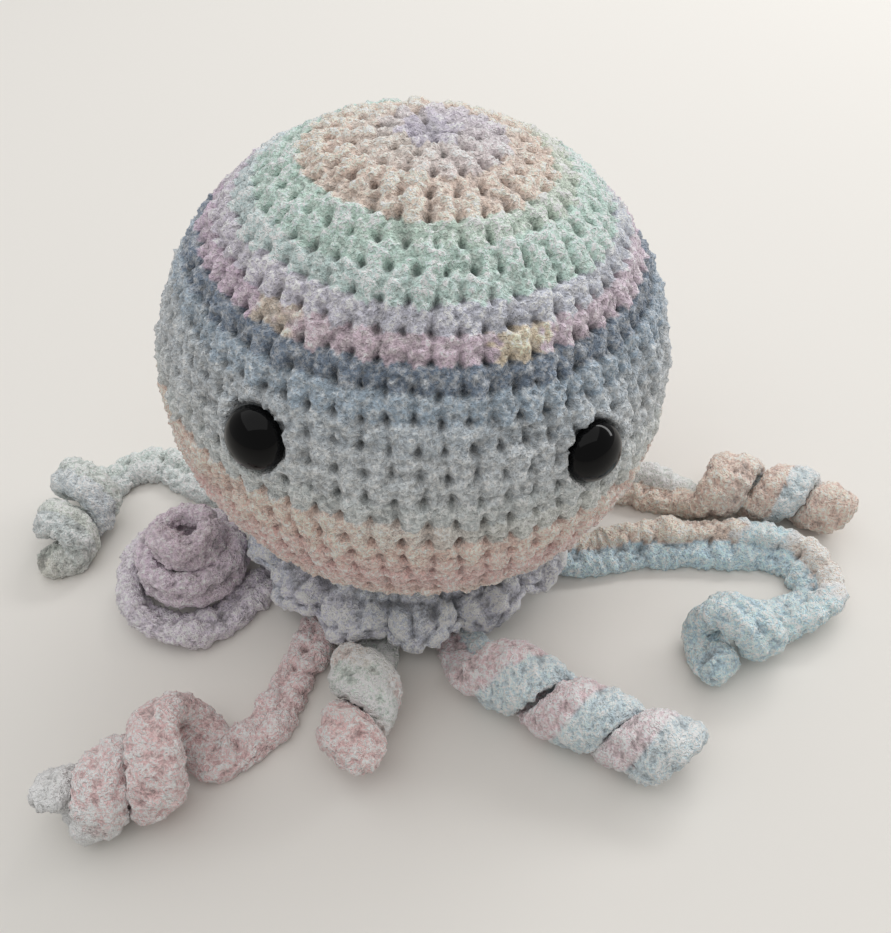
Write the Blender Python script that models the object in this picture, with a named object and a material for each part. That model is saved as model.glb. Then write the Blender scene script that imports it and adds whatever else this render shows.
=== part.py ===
"""Crocheted plush jellyfish: a stuffed bell with eyes, a gathered ruffle and eight curled tentacles.

Lengths are in millimetres and turned to metres when a mesh is written. +Z is up, the floor is z = 0,
the face looks towards -Y, and the origin is the middle of the footprint. Places are worked out from
the point on the floor below the bell's middle, and moved to that origin at the end.
"""

import math

import bmesh
import bpy
import numpy as np
from mathutils import Matrix, Vector

MM = 0.001

# Where the bell's middle stands in the footprint
BELL_FOOT = (2.84, 6.53)

# Bell
BELL_RADIUS = 68.0
BELL_HALF_HEIGHT = 64.0
BELL_CENTRE_HEIGHT = 74.0
BELL_LEAN_RIGHT = 8.0
BELL_LEAN_BACK = 2.0
BELL_SAG = 6.0
SAG_START_LATITUDE = -52.0
SAG_END_LATITUDE = -84.0
STITCH_RELIEF = 1.1
SKIN_THICKNESS = 5.5
CLOSING_HOLE_RADIUS = 1.6

# Crochet
ROUND_HEIGHT = 6.3
STITCHES_ADDED_PER_ROUND = 6
MOST_STITCHES_IN_A_ROUND = 66
STITCH_DRIFT = 0.11
LAST_RELIEF_LATITUDE = -49.0
LINING_COLUMNS = 19
LINING_RINGS = 8

# Clearance between pieces that touch
FIT_GAP = 0.35

# Eyes
EYE_RADIUS = 7.5
EYE_HEIGHT = 6.4
EYE_RIM = 0.8
EYE_SEAT_DEPTH = 0.9
EYE_LATITUDE_LEFT = 14.7
EYE_LATITUDE_RIGHT = 12.9
EYE_LONGITUDE_LEFT = -37.9
EYE_LONGITUDE_RIGHT = 32.1
SHANK_RADIUS = 2.0
SHANK_LENGTH = 12.5
WASHER_RADIUS = 6.5
WASHER_THICKNESS = 1.5
EYE_SEGMENTS = 16
DOME_STEPS = 5
SHANK_CHAMFER = 1.0
SHANK_TIP_SHARE = 0.6

# Tentacle strap
STRAP_WIDTH = 12.4
STRAP_THICKNESS = 6.4
STRAP_GROOVE = 1.0
STRAP_BACK_SHARE = 0.62
STRAP_CROWN_CORNERS = (1, 3, 5, 6)
STRAP_STITCH = 6.9
WIDEN_START = 15.0
WIDEN_BLEND = 20.0
CURL_THICKNESS = 8.4
CURL_LEAD = 6.0
CURL_BLEND = 12.0
STRAP_ROLL_START = 40.0
STRAP_ROLL_BLEND = 14.0
CURL_EASE = 5.0
ROOT_HOLD = 5.0
ROOT_BLEND = 13.0
ROOT_TOP_GAP = 0.7
TIP_TAPER = (0.86, 0.5)
ROUTE_SPACING = 0.5
ROUTE_STEPS = 24

# Standing coil of tentacle_left, in turns from where the coil starts
COIL_STEPS_PER_TURN = 16
COIL_THICKNESS = 7.2
COIL_TIP_START = 0.05
COIL_TIP_LENGTH = 0.4
COIL_RISE_START = 0.35
COIL_RISE_PER_TURN = 9.8

# Ruffle
RUFFLE_LATITUDE = -57.0
RUFFLE_WIDTH = 15.0
RUFFLE_THICKNESS = 4.4
RUFFLE_LIFT = 1.6
RUFFLE_WAVE = 3.6
RUFFLE_SCALLOPS = 14
RUFFLE_STEPS_PER_SCALLOP = 6
RUFFLE_SCALLOP_REACH = 2.0
RUFFLE_HEEL_SHARE = -0.08
RUFFLE_INNER_SHARE = 0.25
RUFFLE_OUTER_SHARE = 0.8

# Bell frame, from its lean
LEAN_RIGHT = math.radians(BELL_LEAN_RIGHT)
LEAN_BACK = math.radians(BELL_LEAN_BACK)
BELL_UP = Vector(
    (
        math.sin(LEAN_RIGHT) * math.cos(LEAN_BACK),
        math.sin(LEAN_BACK),
        math.cos(LEAN_RIGHT) * math.cos(LEAN_BACK),
    )
)
BELL_CENTRE = Vector((0.0, 0.0, BELL_CENTRE_HEIGHT))
BELL_FRONT = (Vector((0, -1, 0)) + BELL_UP * BELL_UP.y).normalized()
BELL_RIGHT = BELL_FRONT.cross(BELL_UP) * -1.0
STRAP_REST_HEIGHT = STRAP_THICKNESS / 2 - STRAP_GROOVE
STRAP_TOP_HEIGHT = STRAP_REST_HEIGHT + STRAP_THICKNESS / 2
SKIN_BASE_HEIGHT = STRAP_TOP_HEIGHT + FIT_GAP
LINING_SAG = (BELL_RADIUS - SKIN_THICKNESS) * (
    2.0 - math.cos(math.pi / LINING_COLUMNS) - math.cos(math.pi / (2 * LINING_RINGS + 2))
)
WASHER_RIM_SAG = WASHER_RADIUS**2 / (2 * BELL_HALF_HEIGHT)
WASHER_DEPTH = SKIN_THICKNESS + LINING_SAG + WASHER_RIM_SAG + FIT_GAP
RUFFLE_EDGE_HEIGHT = STRAP_TOP_HEIGHT + RUFFLE_LIFT + RUFFLE_WAVE + RUFFLE_THICKNESS / 2


def clear_scene():
    """Removes whatever the scene holds."""
    for old in list(bpy.data.objects):
        bpy.data.objects.remove(old, do_unlink=True)


def smoothstep(value):
    """0 below 0, 1 above 1, with a smooth change between."""
    t = min(1.0, max(0.0, value))
    return t * t * (3.0 - 2.0 * t)


def make_material(name, colour, roughness):
    """A Principled material of one colour."""
    material = bpy.data.materials.new(name)
    material.use_nodes = True
    shader = material.node_tree.nodes["Principled BSDF"]
    shader.inputs["Base Color"].default_value = (*colour, 1.0)
    shader.inputs["Roughness"].default_value = roughness
    shader.inputs["Metallic"].default_value = 0.0
    material.diffuse_color = (*colour, 1.0)
    return material


def add_object(name, work, material, smooth_angle=60.0):
    """Turns a bmesh in millimetres into a named object in metres."""
    bmesh.ops.triangulate(work, faces=work.faces[:])
    bmesh.ops.recalc_face_normals(work, faces=work.faces[:])
    bmesh.ops.translate(work, vec=(*BELL_FOOT, 0.0), verts=work.verts[:])
    bmesh.ops.scale(work, vec=(MM, MM, MM), verts=work.verts[:])
    mesh = bpy.data.meshes.new(name)
    work.to_mesh(mesh)
    work.free()
    mesh.materials.append(material)
    mesh.shade_smooth()
    mesh.set_sharp_from_angle(angle=math.radians(smooth_angle))
    made = bpy.data.objects.new(name, mesh)
    bpy.context.scene.collection.objects.link(made)
    return made


def zip_rings(work, upper, lower):
    """Joins two rings of (angle, vertex), of any two counts, with triangles."""
    first = upper[0][0]

    def turn_from_first(item):
        return abs((item[0] - first + math.pi) % math.tau - math.pi)

    start = min(range(len(lower)), key=lambda j: turn_from_first(lower[j]))
    offset = (lower[start][0] - first + math.pi) % math.tau - math.pi

    def upper_angle(i):
        return upper[i % len(upper)][0] - first + math.tau * (i // len(upper))

    def lower_angle(j):
        index = (start + j) % len(lower)
        turns = (start + j) // len(lower)
        return lower[index][0] - lower[start][0] + offset + math.tau * turns

    i = 0
    j = 0
    while i < len(upper) or j < len(lower):
        go_upper = j >= len(lower) or (i < len(upper) and upper_angle(i + 1) <= lower_angle(j + 1))
        a = upper[i % len(upper)][1]
        b = lower[(start + j) % len(lower)][1]
        if go_upper:
            i += 1
            c = upper[i % len(upper)][1]
        else:
            j += 1
            c = lower[(start + j) % len(lower)][1]
        work.faces.new((a, b, c))


def close_ring(work, ring, centre):
    """Closes a ring of (angle, vertex) with a fan to one vertex."""
    for i, (_, vertex) in enumerate(ring):
        work.faces.new((vertex, ring[(i + 1) % len(ring)][1], centre))


def bell_half_height(latitude):
    """Half height of the bell at a latitude: the foot sags a little under its own weight."""
    share = (SAG_START_LATITUDE - latitude) / (SAG_START_LATITUDE - SAG_END_LATITUDE)
    return BELL_HALF_HEIGHT + BELL_SAG * smoothstep(share)


def bell_point(latitude, longitude, offset, floor=SKIN_BASE_HEIGHT):
    """A point at a distance outside the bell's mean surface. Longitude 0 is the front, + is right."""
    phi = math.radians(latitude)
    theta = math.radians(longitude)
    half = bell_half_height(latitude)
    outward = BELL_FRONT * math.cos(theta) + BELL_RIGHT * math.sin(theta)
    normal = outward * (math.cos(phi) / BELL_RADIUS) + BELL_UP * (math.sin(phi) / half)
    point = BELL_CENTRE + outward * (BELL_RADIUS * math.cos(phi)) + BELL_UP * (half * math.sin(phi))
    point += normal.normalized() * offset
    point.z = max(point.z, floor)
    return point


def bell_normal(latitude, longitude):
    """The outward direction of the bell's mean surface."""
    inner = bell_point(latitude, longitude, 0.0, -BELL_RADIUS)
    outer = bell_point(latitude, longitude, 1.0, -BELL_RADIUS)
    return (outer - inner).normalized()


def bell_underside(x, y):
    """Height of the bell's mean surface above a place on the floor."""
    low = 0.0
    high = BELL_CENTRE_HEIGHT
    for _ in range(30):
        middle = (low + high) / 2
        local = Vector((x, y, middle)) - BELL_CENTRE
        up = local.dot(BELL_UP)
        out = (local - BELL_UP * up).length / BELL_RADIUS
        half = bell_half_height(math.degrees(math.atan2(up / BELL_HALF_HEIGHT, out)))
        if out**2 + (up / half) ** 2 < 1.0:
            high = middle
        else:
            low = middle
    return max(high, SKIN_BASE_HEIGHT)


def meridian_table():
    """Latitudes and the length of the meridian from the crown down to each."""
    latitudes = np.linspace(90.0, -90.0, 721)
    phi = np.radians(latitudes)
    half = np.array([bell_half_height(a) for a in latitudes])
    out = BELL_RADIUS * np.cos(phi)
    up = half * np.sin(phi)
    steps = np.hypot(np.diff(out), np.diff(up))
    return latitudes, np.concatenate(([0.0], np.cumsum(steps)))


def rounds_of_bell():
    """The number of crochet rounds and a function from rounds worked to latitude."""
    latitudes, lengths = meridian_table()
    rounds = round(lengths[-1] / ROUND_HEIGHT)

    def latitude_at(worked):
        return float(np.interp(worked / rounds * lengths[-1], lengths, latitudes))

    return rounds, latitude_at


def stitches_in_round(number, rounds):
    """Six stitches more in each round up to the widest, then six fewer in each of the last."""
    growing = STITCHES_ADDED_PER_ROUND * number
    closing = STITCHES_ADDED_PER_ROUND * (rounds + 1 - number)
    return min(growing, closing, MOST_STITCHES_IN_A_ROUND)


def bell_ring(work, latitude, count, turn, offset, floor=SKIN_BASE_HEIGHT):
    """A ring of (angle, vertex) round the bell, sorted by angle."""
    ring = []
    for i in range(count):
        angle = (math.tau * i / count + turn) % math.tau
        point = bell_point(latitude, math.degrees(angle), offset, floor)
        ring.append((angle, work.verts.new(point)))
    return sorted(ring, key=lambda item: item[0])


def hole_ring(work, offset, floor):
    """The small ring where the last round is drawn closed."""
    latitude = -90.0 + math.degrees(CLOSING_HOLE_RADIUS / BELL_RADIUS)
    return bell_ring(work, latitude, STITCHES_ADDED_PER_ROUND, 0.0, offset, floor)


def lining_rings(work, depth):
    """Plain rings inside the skin, for its back and for the stuffing."""
    floor = SKIN_BASE_HEIGHT + depth
    rings = []
    for i in range(1, LINING_RINGS + 1):
        latitude = 90.0 - 180.0 * i / (LINING_RINGS + 1)
        rings.append(bell_ring(work, latitude, LINING_COLUMNS, 0.0, -depth, floor))
    return rings


def build_bell_skin(material):
    """The crocheted skin: a bump for each stitch, a pit at each stitch's corner, a plain back."""
    work = bmesh.new()
    rounds, latitude_at = rounds_of_bell()
    crown = work.verts.new(bell_point(90.0, 0.0, -STITCH_RELIEF / 2))
    outer = []
    for number in range(1, rounds + 1):
        count = stitches_in_round(number, rounds)
        turn = STITCH_DRIFT * number
        middle = latitude_at(number - 0.5)
        if middle < LAST_RELIEF_LATITUDE:
            outer.append(bell_ring(work, middle, max(STITCHES_ADDED_PER_ROUND, count // 2), turn, 0.0))
            continue
        outer.append(bell_ring(work, middle, count, turn, STITCH_RELIEF))
        if number < rounds:
            pit_turn = turn + math.pi / count
            outer.append(bell_ring(work, latitude_at(number), count, pit_turn, -STITCH_RELIEF))
    outer.append(hole_ring(work, 0.0, SKIN_BASE_HEIGHT))
    close_ring(work, outer[0], crown)
    for upper, lower in zip(outer, outer[1:]):
        zip_rings(work, upper, lower)
    inner_floor = SKIN_BASE_HEIGHT + SKIN_THICKNESS
    inner_top = work.verts.new(bell_point(90.0, 0.0, -SKIN_THICKNESS))
    inner = lining_rings(work, SKIN_THICKNESS)
    close_ring(work, inner[0], inner_top)
    for upper, lower in zip(inner, inner[1:]):
        zip_rings(work, upper, lower)
    inner_hole = hole_ring(work, -SKIN_THICKNESS, inner_floor)
    zip_rings(work, inner[-1], inner_hole)
    zip_rings(work, outer[-1], inner_hole)
    return add_object("bell_skin", work, material)


def build_filling(material):
    """The stuffing, which fills the skin with a small fit gap."""
    work = bmesh.new()
    depth = SKIN_THICKNESS + FIT_GAP
    rings = lining_rings(work, depth)
    top = work.verts.new(bell_point(90.0, 0.0, -depth))
    bottom = work.verts.new(bell_point(-90.0, 0.0, -depth, SKIN_BASE_HEIGHT + depth))
    close_ring(work, rings[0], top)
    for upper, lower in zip(rings, rings[1:]):
        zip_rings(work, upper, lower)
    close_ring(work, rings[-1], bottom)
    return add_object("filling", work, material)


def add_turned(name, profile, place, material, closed_profile=False):
    """A turned solid from (radius, height) points, outer end first, set at a 4x4 place."""
    work = bmesh.new()
    rings = []
    for radius, height in profile:
        if radius == 0.0:
            rings.append([work.verts.new((0.0, 0.0, height))])
            continue
        ring = []
        for i in range(EYE_SEGMENTS):
            angle = math.tau * i / EYE_SEGMENTS
            point = (radius * math.cos(angle), radius * math.sin(angle), height)
            ring.append(work.verts.new(point))
        rings.append(ring)
    pairs = list(zip(rings, rings[1:]))
    if closed_profile:
        pairs.append((rings[-1], rings[0]))
    for upper, lower in pairs:
        for i in range(EYE_SEGMENTS):
            k = (i + 1) % EYE_SEGMENTS
            if len(upper) == 1:
                work.faces.new((upper[0], lower[i], lower[k]))
            elif len(lower) == 1:
                work.faces.new((upper[k], upper[i], lower[0]))
            else:
                work.faces.new((upper[k], upper[i], lower[i], lower[k]))
    bmesh.ops.transform(work, matrix=place, verts=work.verts[:])
    return add_object(name, work, material, 40.0)


def eye_place(latitude, longitude):
    """The frame of an eye: its back at the origin, +Z outwards."""
    normal = bell_normal(latitude, longitude)
    seat = bell_point(latitude, longitude, -EYE_SEAT_DEPTH)
    return Matrix.Translation(seat) @ normal.to_track_quat("Z", "Y").to_matrix().to_4x4()


def eye_profile():
    """Dome, thin rim, flat back and shank."""
    points = [(0.0, EYE_HEIGHT)]
    for i in range(1, DOME_STEPS):
        angle = math.pi / 2 * i / DOME_STEPS
        height = EYE_RIM + (EYE_HEIGHT - EYE_RIM) * math.cos(angle)
        points.append((EYE_RADIUS * math.sin(angle), height))
    points += [(EYE_RADIUS, EYE_RIM), (EYE_RADIUS, 0.0), (SHANK_RADIUS, 0.0)]
    points += [(SHANK_RADIUS, SHANK_CHAMFER - SHANK_LENGTH)]
    points += [(SHANK_RADIUS * SHANK_TIP_SHARE, -SHANK_LENGTH), (0.0, -SHANK_LENGTH)]
    return points


def cut_with(target, cutter, name):
    """Cuts a cutter out of a target, and keeps the cutter as a hidden guide."""
    cutter.hide_render = True
    cutter.display_type = "WIRE"
    cut = target.modifiers.new(name, "BOOLEAN")
    cut.operation = "DIFFERENCE"
    cut.solver = "EXACT"
    cut.object = cutter


def build_eye(side, latitude, longitude, skin, filling, materials):
    """One safety eye with its washer, and its seat and bore in the skin and the stuffing."""
    place = eye_place(latitude, longitude)
    add_turned(f"eye_{side}", eye_profile(), place, materials["eye"])
    bore = SHANK_RADIUS + FIT_GAP
    washer_top = EYE_SEAT_DEPTH - WASHER_DEPTH
    washer_low = washer_top - WASHER_THICKNESS
    washer = [
        (bore, washer_top),
        (WASHER_RADIUS, washer_top),
        (WASHER_RADIUS, washer_low),
        (bore, washer_low),
    ]
    add_turned(f"eye_washer_{side}", washer, place, materials["washer"], closed_profile=True)
    seat = EYE_RADIUS + FIT_GAP
    outside = EYE_HEIGHT
    inside = -SHANK_LENGTH - FIT_GAP
    seat_cut = [(0.0, outside), (seat, outside), (seat, -FIT_GAP)]
    seat_cut += [(bore, -FIT_GAP), (bore, inside), (0.0, inside)]
    seat_cutter = add_turned(f"eye_seat_cutter_{side}", seat_cut, place, materials["eye"])
    cut_with(skin, seat_cutter, f"seat_{side}")
    room = WASHER_RADIUS + FIT_GAP
    room_low = washer_low - FIT_GAP
    room_cut = [(0.0, outside), (room, outside), (room, room_low)]
    room_cut += [(bore, room_low), (bore, inside), (0.0, inside)]
    room_cutter = add_turned(f"washer_room_cutter_{side}", room_cut, place, materials["eye"])
    cut_with(filling, room_cutter, f"room_{side}")


def smooth_route(points):
    """Points at an even spacing along a smooth curve through a hand-laid route."""
    route = [Vector(p) for p in points]
    ends = [route[0] * 2 - route[1], *route, route[-1] * 2 - route[-2]]
    fine = []
    for a, b, c, d in zip(ends, ends[1:], ends[2:], ends[3:]):
        for i in range(ROUTE_STEPS):
            t = i / ROUTE_STEPS
            bend = (a * 2 - b * 5 + c * 4 - d) * t**2 + (b * 3 - a - c * 3 + d) * t**3
            fine.append((b * 2 + (c - a) * t + bend) / 2)
    fine.append(route[-1])
    lengths = np.concatenate(([0.0], np.cumsum([(q - p).length for p, q in zip(fine, fine[1:])])))
    count = max(2, round(lengths[-1] / ROUTE_SPACING))
    wanted = np.linspace(0.0, lengths[-1], count + 1)
    columns = [np.interp(wanted, lengths, [p[k] for p in fine]) for k in range(3)]
    return [Vector(p) for p in zip(*columns)], float(lengths[-1])


def between(ends, share):
    """A value on the way from the first of two ends to the second."""
    return ends[0] + (ends[1] - ends[0]) * share


def strap_up(tangent, roll):
    """The strap's upper face: straight up when flat, turned about the strap by roll degrees."""
    side = tangent.cross(Vector((0, 0, 1))).normalized()
    up = side.cross(tangent).normalized()
    angle = math.radians(roll)
    return up * math.cos(angle) - side * math.sin(angle)


def lift_root(centres):
    """Raises a strap's first stretch so that its top follows the underside of the bell."""
    travelled = 0.0
    for i, centre in enumerate(centres):
        if i > 0:
            travelled += (centre.xy - centres[i - 1].xy).length
        if travelled > ROOT_HOLD + ROOT_BLEND:
            break
        ahead = (centres[i + 1] - centre).normalized()
        across = Vector((-ahead.y, ahead.x, 0.0)) * (STRAP_WIDTH / 2 * STRAP_BACK_SHARE)
        spots = (centre - across, centre, centre + across)
        underside = min(bell_underside(spot.x, spot.y) for spot in spots)
        lift = max(0.0, underside - ROOT_TOP_GAP - STRAP_TOP_HEIGHT)
        centre.z += lift * (1.0 - smoothstep((travelled - ROOT_HOLD) / ROOT_BLEND))


def curled_line(
    axis_points, curl_start, handed, pitches, widths, radii, strap_width=STRAP_WIDTH, strap_roll=0.0, spread=1.0
):
    """Fine centreline, faces and sizes of a strap that lies flat, then winds about its own axis.

    pitches, widths and radii are those of the curl, at its start and at its tip.
    """
    axis, length = smooth_route([(x, y, 0.0) for x, y in axis_points])
    step = length / (len(axis) - 1)
    centres = []
    faces = []
    sizes = []
    turns = 0.0
    for i, base in enumerate(axis):
        travelled = i * step
        ahead = axis[min(i + 1, len(axis) - 1)]
        behind = axis[max(i - 1, 0)]
        tangent = (ahead - behind).normalized()
        wound = max(0.0, travelled - curl_start)
        share = wound / (length - curl_start)
        turns += step * (1.0 - math.exp(-wound / CURL_EASE)) / between(pitches, share)
        tilt = smoothstep((curl_start - travelled) / STRAP_ROLL_BLEND)
        tilt *= smoothstep((travelled - STRAP_ROLL_START) / STRAP_ROLL_BLEND)
        tilt = math.radians(strap_roll * tilt)
        face = strap_up(tangent, 180.0 + math.degrees(tilt) + handed * 360.0 * turns)
        grown = smoothstep((travelled - curl_start + CURL_LEAD) / CURL_BLEND)
        width = between((STRAP_WIDTH, strap_width), smoothstep((travelled - WIDEN_START) / WIDEN_BLEND))
        width = between((width, between(widths, share)), grown)
        thickness = between((STRAP_THICKNESS, CURL_THICKNESS), grown)
        rest = thickness / 2 - STRAP_GROOVE
        if wound > 0.0:
            radius = between(radii, share)
            out = face * radius
            centres.append(Vector((base.x + out.x * spread, base.y + out.y * spread, out.z + radius + rest)))
        else:
            height = rest + (width - thickness) / 2 * abs(math.sin(tilt))
            centres.append(Vector((base.x, base.y, height)))
        faces.append(face)
        sizes.append((width, thickness))
    lift_root(centres)
    return centres, faces, sizes


def coiled_line(root_points, middle, drift, start_angle, turns, radii):
    """Centreline of a strap that circles on the floor and then climbs into a standing coil."""
    points = [Vector((x, y, STRAP_REST_HEIGHT)) for x, y in root_points]
    rolls = [180.0 for _ in root_points]
    steps = round(turns * COIL_STEPS_PER_TURN)
    for i in range(steps + 1):
        q = turns * i / steps
        angle = math.radians(start_angle - 360.0 * q)
        radius = float(np.interp(q, [r[0] for r in radii], [r[1] for r in radii]))
        tip_up = smoothstep((q - COIL_TIP_START) / COIL_TIP_LENGTH)
        height = STRAP_REST_HEIGHT + (STRAP_WIDTH - STRAP_THICKNESS) / 2 * math.sin(tip_up * math.pi / 2)
        height += max(0.0, q - COIL_RISE_START) * COIL_RISE_PER_TURN
        x = middle[0] + drift[0] * q + radius * math.cos(angle)
        y = middle[1] + drift[1] * q + radius * math.sin(angle)
        points.append(Vector((x, y, height)))
        rolls.append(180.0 - 90.0 * tip_up)
    centres, _ = smooth_route(points)
    chords = np.concatenate(([0.0], np.cumsum([(b - a).length for a, b in zip(points, points[1:])])))
    knots = chords / chords[-1]
    faces = []
    sizes = []
    for i, centre in enumerate(centres):
        ahead = centres[min(i + 1, len(centres) - 1)]
        behind = centres[max(i - 1, 0)]
        roll = float(np.interp(i / (len(centres) - 1), knots, rolls))
        faces.append(strap_up((ahead - behind).normalized(), roll))
        sizes.append((STRAP_WIDTH, between((STRAP_THICKNESS, COIL_THICKNESS), (rolls[0] - roll) / 90.0)))
    lift_root(centres)
    return centres, faces, sizes


def strap_section(centre, along, face, width, thickness, size):
    """Corners of a strap's section: two rows of stitches with a groove between them, and a flat back."""
    across = along.cross(face).normalized()
    half_width = width / 2 * size
    half_thick = thickness / 2 * size
    groove = half_thick - STRAP_GROOVE * size
    corners = [
        (half_width, 0.0),
        (half_width / 2, half_thick),
        (0.0, groove),
        (-half_width / 2, half_thick),
        (-half_width, 0.0),
        (-half_width * STRAP_BACK_SHARE, -half_thick),
        (half_width * STRAP_BACK_SHARE, -half_thick),
    ]
    points = [centre + across * a + face * b for a, b in corners]
    for point in points:
        point.z = max(point.z, 0.0)
    return points


def build_strap(name, line, material):
    """A tentacle: sections one stitch apart, whose crowns lie half a stitch from their edges."""
    centres, faces, sizes = line
    lengths = np.concatenate(([0.0], np.cumsum([(b - a).length for a, b in zip(centres, centres[1:])])))
    stitches = round(float(lengths[-1]) / STRAP_STITCH)
    half_stitch = float(lengths[-1]) / stitches / 2

    def frame_at(distance):
        spot = float(np.interp(distance, lengths, range(len(lengths))))
        i = min(int(spot), len(centres) - 2)
        share = spot - i
        centre = centres[i].lerp(centres[i + 1], share)
        along = (centres[min(i + 2, len(centres) - 1)] - centres[max(i - 1, 0)]).normalized()
        face = faces[i].lerp(faces[i + 1], share)
        face = (face - along * face.dot(along)).normalized()
        width, thickness = (between(ends, share) for ends in zip(sizes[i], sizes[i + 1]))
        return centre, along, face, width, thickness

    work = bmesh.new()
    rings = []
    for number in range(stitches):
        size = 1.0
        if number >= stitches - len(TIP_TAPER):
            size = TIP_TAPER[number - stitches + len(TIP_TAPER)]
        edges = strap_section(*frame_at(number * 2 * half_stitch), size)
        crowns = strap_section(*frame_at((number * 2 + 1) * half_stitch), size)
        ring = []
        for corner in range(len(edges)):
            on_crown = corner in STRAP_CROWN_CORNERS
            ring.append(work.verts.new(crowns[corner] if on_crown else edges[corner]))
        rings.append(ring)
    for first, second in zip(rings, rings[1:]):
        for i in range(len(first)):
            k = (i + 1) % len(first)
            if k in STRAP_CROWN_CORNERS:
                work.faces.new((first[i], first[k], second[i]))
                work.faces.new((first[k], second[k], second[i]))
            else:
                work.faces.new((first[i], first[k], second[k]))
                work.faces.new((first[i], second[k], second[i]))
    root = work.verts.new(frame_at(0.0)[0])
    tip = work.verts.new(frame_at(float(lengths[-1]))[0])
    for i in range(len(rings[0])):
        k = (i + 1) % len(rings[0])
        work.faces.new((rings[0][k], rings[0][i], root))
        work.faces.new((rings[-1][i], rings[-1][k], tip))
    return add_object(name, work, material)


def build_ruffle(material):
    """The gathered frill: a waved ring whose inner edge follows the bell's foot."""
    work = bmesh.new()
    columns = RUFFLE_SCALLOPS * RUFFLE_STEPS_PER_SCALLOP
    half = RUFFLE_THICKNESS / 2
    section = [(RUFFLE_HEEL_SHARE, 0.0), (RUFFLE_INNER_SHARE, 1.0), (RUFFLE_OUTER_SHARE, 1.0)]
    section += [(1.0, 0.0), (RUFFLE_OUTER_SHARE, -1.0), (RUFFLE_INNER_SHARE, -1.0)]
    stand_off = FIT_GAP + RUFFLE_THICKNESS / 4
    foot = bell_point(RUFFLE_LATITUDE, 0.0, 0.0, 0.0)
    middle = BELL_CENTRE + BELL_UP * (foot - BELL_CENTRE).dot(BELL_UP)
    rings = []
    for column in range(columns):
        angle = math.tau * column / columns
        inner = bell_point(RUFFLE_LATITUDE, math.degrees(angle), stand_off, 0.0)
        outward = inner - middle
        outward.z = 0.0
        outward.normalize()
        wave = math.sin(angle * RUFFLE_SCALLOPS)
        reach = RUFFLE_WIDTH + RUFFLE_SCALLOP_REACH * math.cos(angle * RUFFLE_SCALLOPS)
        ring = []
        for share, side in section:
            out = max(share, 0.0)
            height = inner.z + (RUFFLE_EDGE_HEIGHT - inner.z) * smoothstep(out)
            height += RUFFLE_WAVE * wave * out * out + half * side
            spot = inner + outward * (reach * share)
            ring.append(work.verts.new((spot.x, spot.y, height)))
        rings.append(ring)
    for first, second in zip(rings, rings[1:] + rings[:1]):
        for i in range(len(section)):
            k = (i + 1) % len(section)
            work.faces.new((first[i], first[k], second[k], second[i]))
    return add_object("ruffle", work, material)


def tentacle_lines():
    """The route of each tentacle, root to tip, as it lies on the floor."""
    return {
        "tentacle_back_left": curled_line(
            [(-27, 11), (-50, 17), (-72, 22), (-87, 31), (-97, 38.5)]
            + [(-107, 39.5), (-114, 34), (-118.5, 24), (-123, 10), (-126.5, -4)],
            curl_start=97.0,
            handed=1,
            pitches=(17.0, 14.0),
            widths=(14.4, 12.2),
            radii=(8.2, 5.8),
            strap_width=13.4,
            spread=1.3,
        ),
        "tentacle_left": coiled_line(
            [(-31, -3), (-43, -11), (-54, -18)],
            middle=(-82.5, -14),
            drift=(1.8, 0.2),
            start_angle=-25.0,
            turns=2.5,
            radii=[(0.0, 22.5), (0.3, 19.5), (0.7, 17.2), (1.0, 14.5), (1.4, 11.8), (1.8, 9.2)]
            + [(2.2, 7.0), (2.5, 5.6)],
        ),
        "tentacle_front_left": curled_line(
            [(-25, -17), (-36, -31), (-42.5, -46), (-48, -57), (-53, -67), (-59, -74)]
            + [(-67, -78), (-76, -80), (-84, -83), (-96, -88), (-105, -90)],
            curl_start=76.5,
            handed=1,
            pitches=(16.2, 14.2),
            widths=(14.8, 13.0),
            radii=(12.2, 5.2),
            strap_width=11.8,
        ),
        "tentacle_front_centre": curled_line(
            [(-13, -23), (-20, -35), (-23, -46), (-24, -57), (-26, -68), (-29, -79), (-33, -90)],
            curl_start=32.0,
            handed=1,
            pitches=(18.4, 15.0),
            widths=(15.6, 14.2),
            radii=(7.6, 5.6),
        ),
        "tentacle_front_right": curled_line(
            [(0, -22), (1, -36), (2, -50), (8, -61), (17, -69), (26, -77), (35, -83)]
            + [(50, -93), (57, -96.5)],
            curl_start=37.0,
            handed=1,
            pitches=(23.5, 18.5),
            widths=(18.4, 15.6),
            radii=(6.8, 5.8),
            strap_width=14.4,
        ),
        "tentacle_right": curled_line(
            [(11, -12), (24, -17), (37, -23), (50, -24), (66, -24.5), (82, -26.5), (97, -29.5), (108, -34.5)]
            + [(112.5, -43), (110.5, -51.5), (103, -56), (93, -57.5), (84, -60), (76, -63.5), (69, -67.5)],
            curl_start=139.5,
            handed=-1,
            pitches=(16.0, 13.8),
            widths=(13.8, 12.4),
            radii=(9.0, 6.0),
            strap_width=14.6,
            strap_roll=-34.0,
        ),
        "tentacle_back_right": curled_line(
            [(13, 3), (35, 6), (52, 5.5), (66, 2), (78, -3), (88, -7), (99, -9), (110, -13), (120, -17)]
            + [(129, -22)],
            curl_start=72.0,
            handed=1,
            pitches=(19.5, 15.5),
            widths=(15.8, 13.4),
            radii=(7.4, 5.6),
            strap_width=15.2,
            strap_roll=-30.0,
        ),
        "tentacle_back": curled_line(
            [(-10, 20), (-7, 36), (-3, 50), (2, 62), (6, 74), (9, 88)],
            curl_start=40.0,
            handed=1,
            pitches=(18.0, 15.0),
            widths=(15.4, 13.6),
            radii=(7.6, 5.8),
        ),
    }


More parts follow.
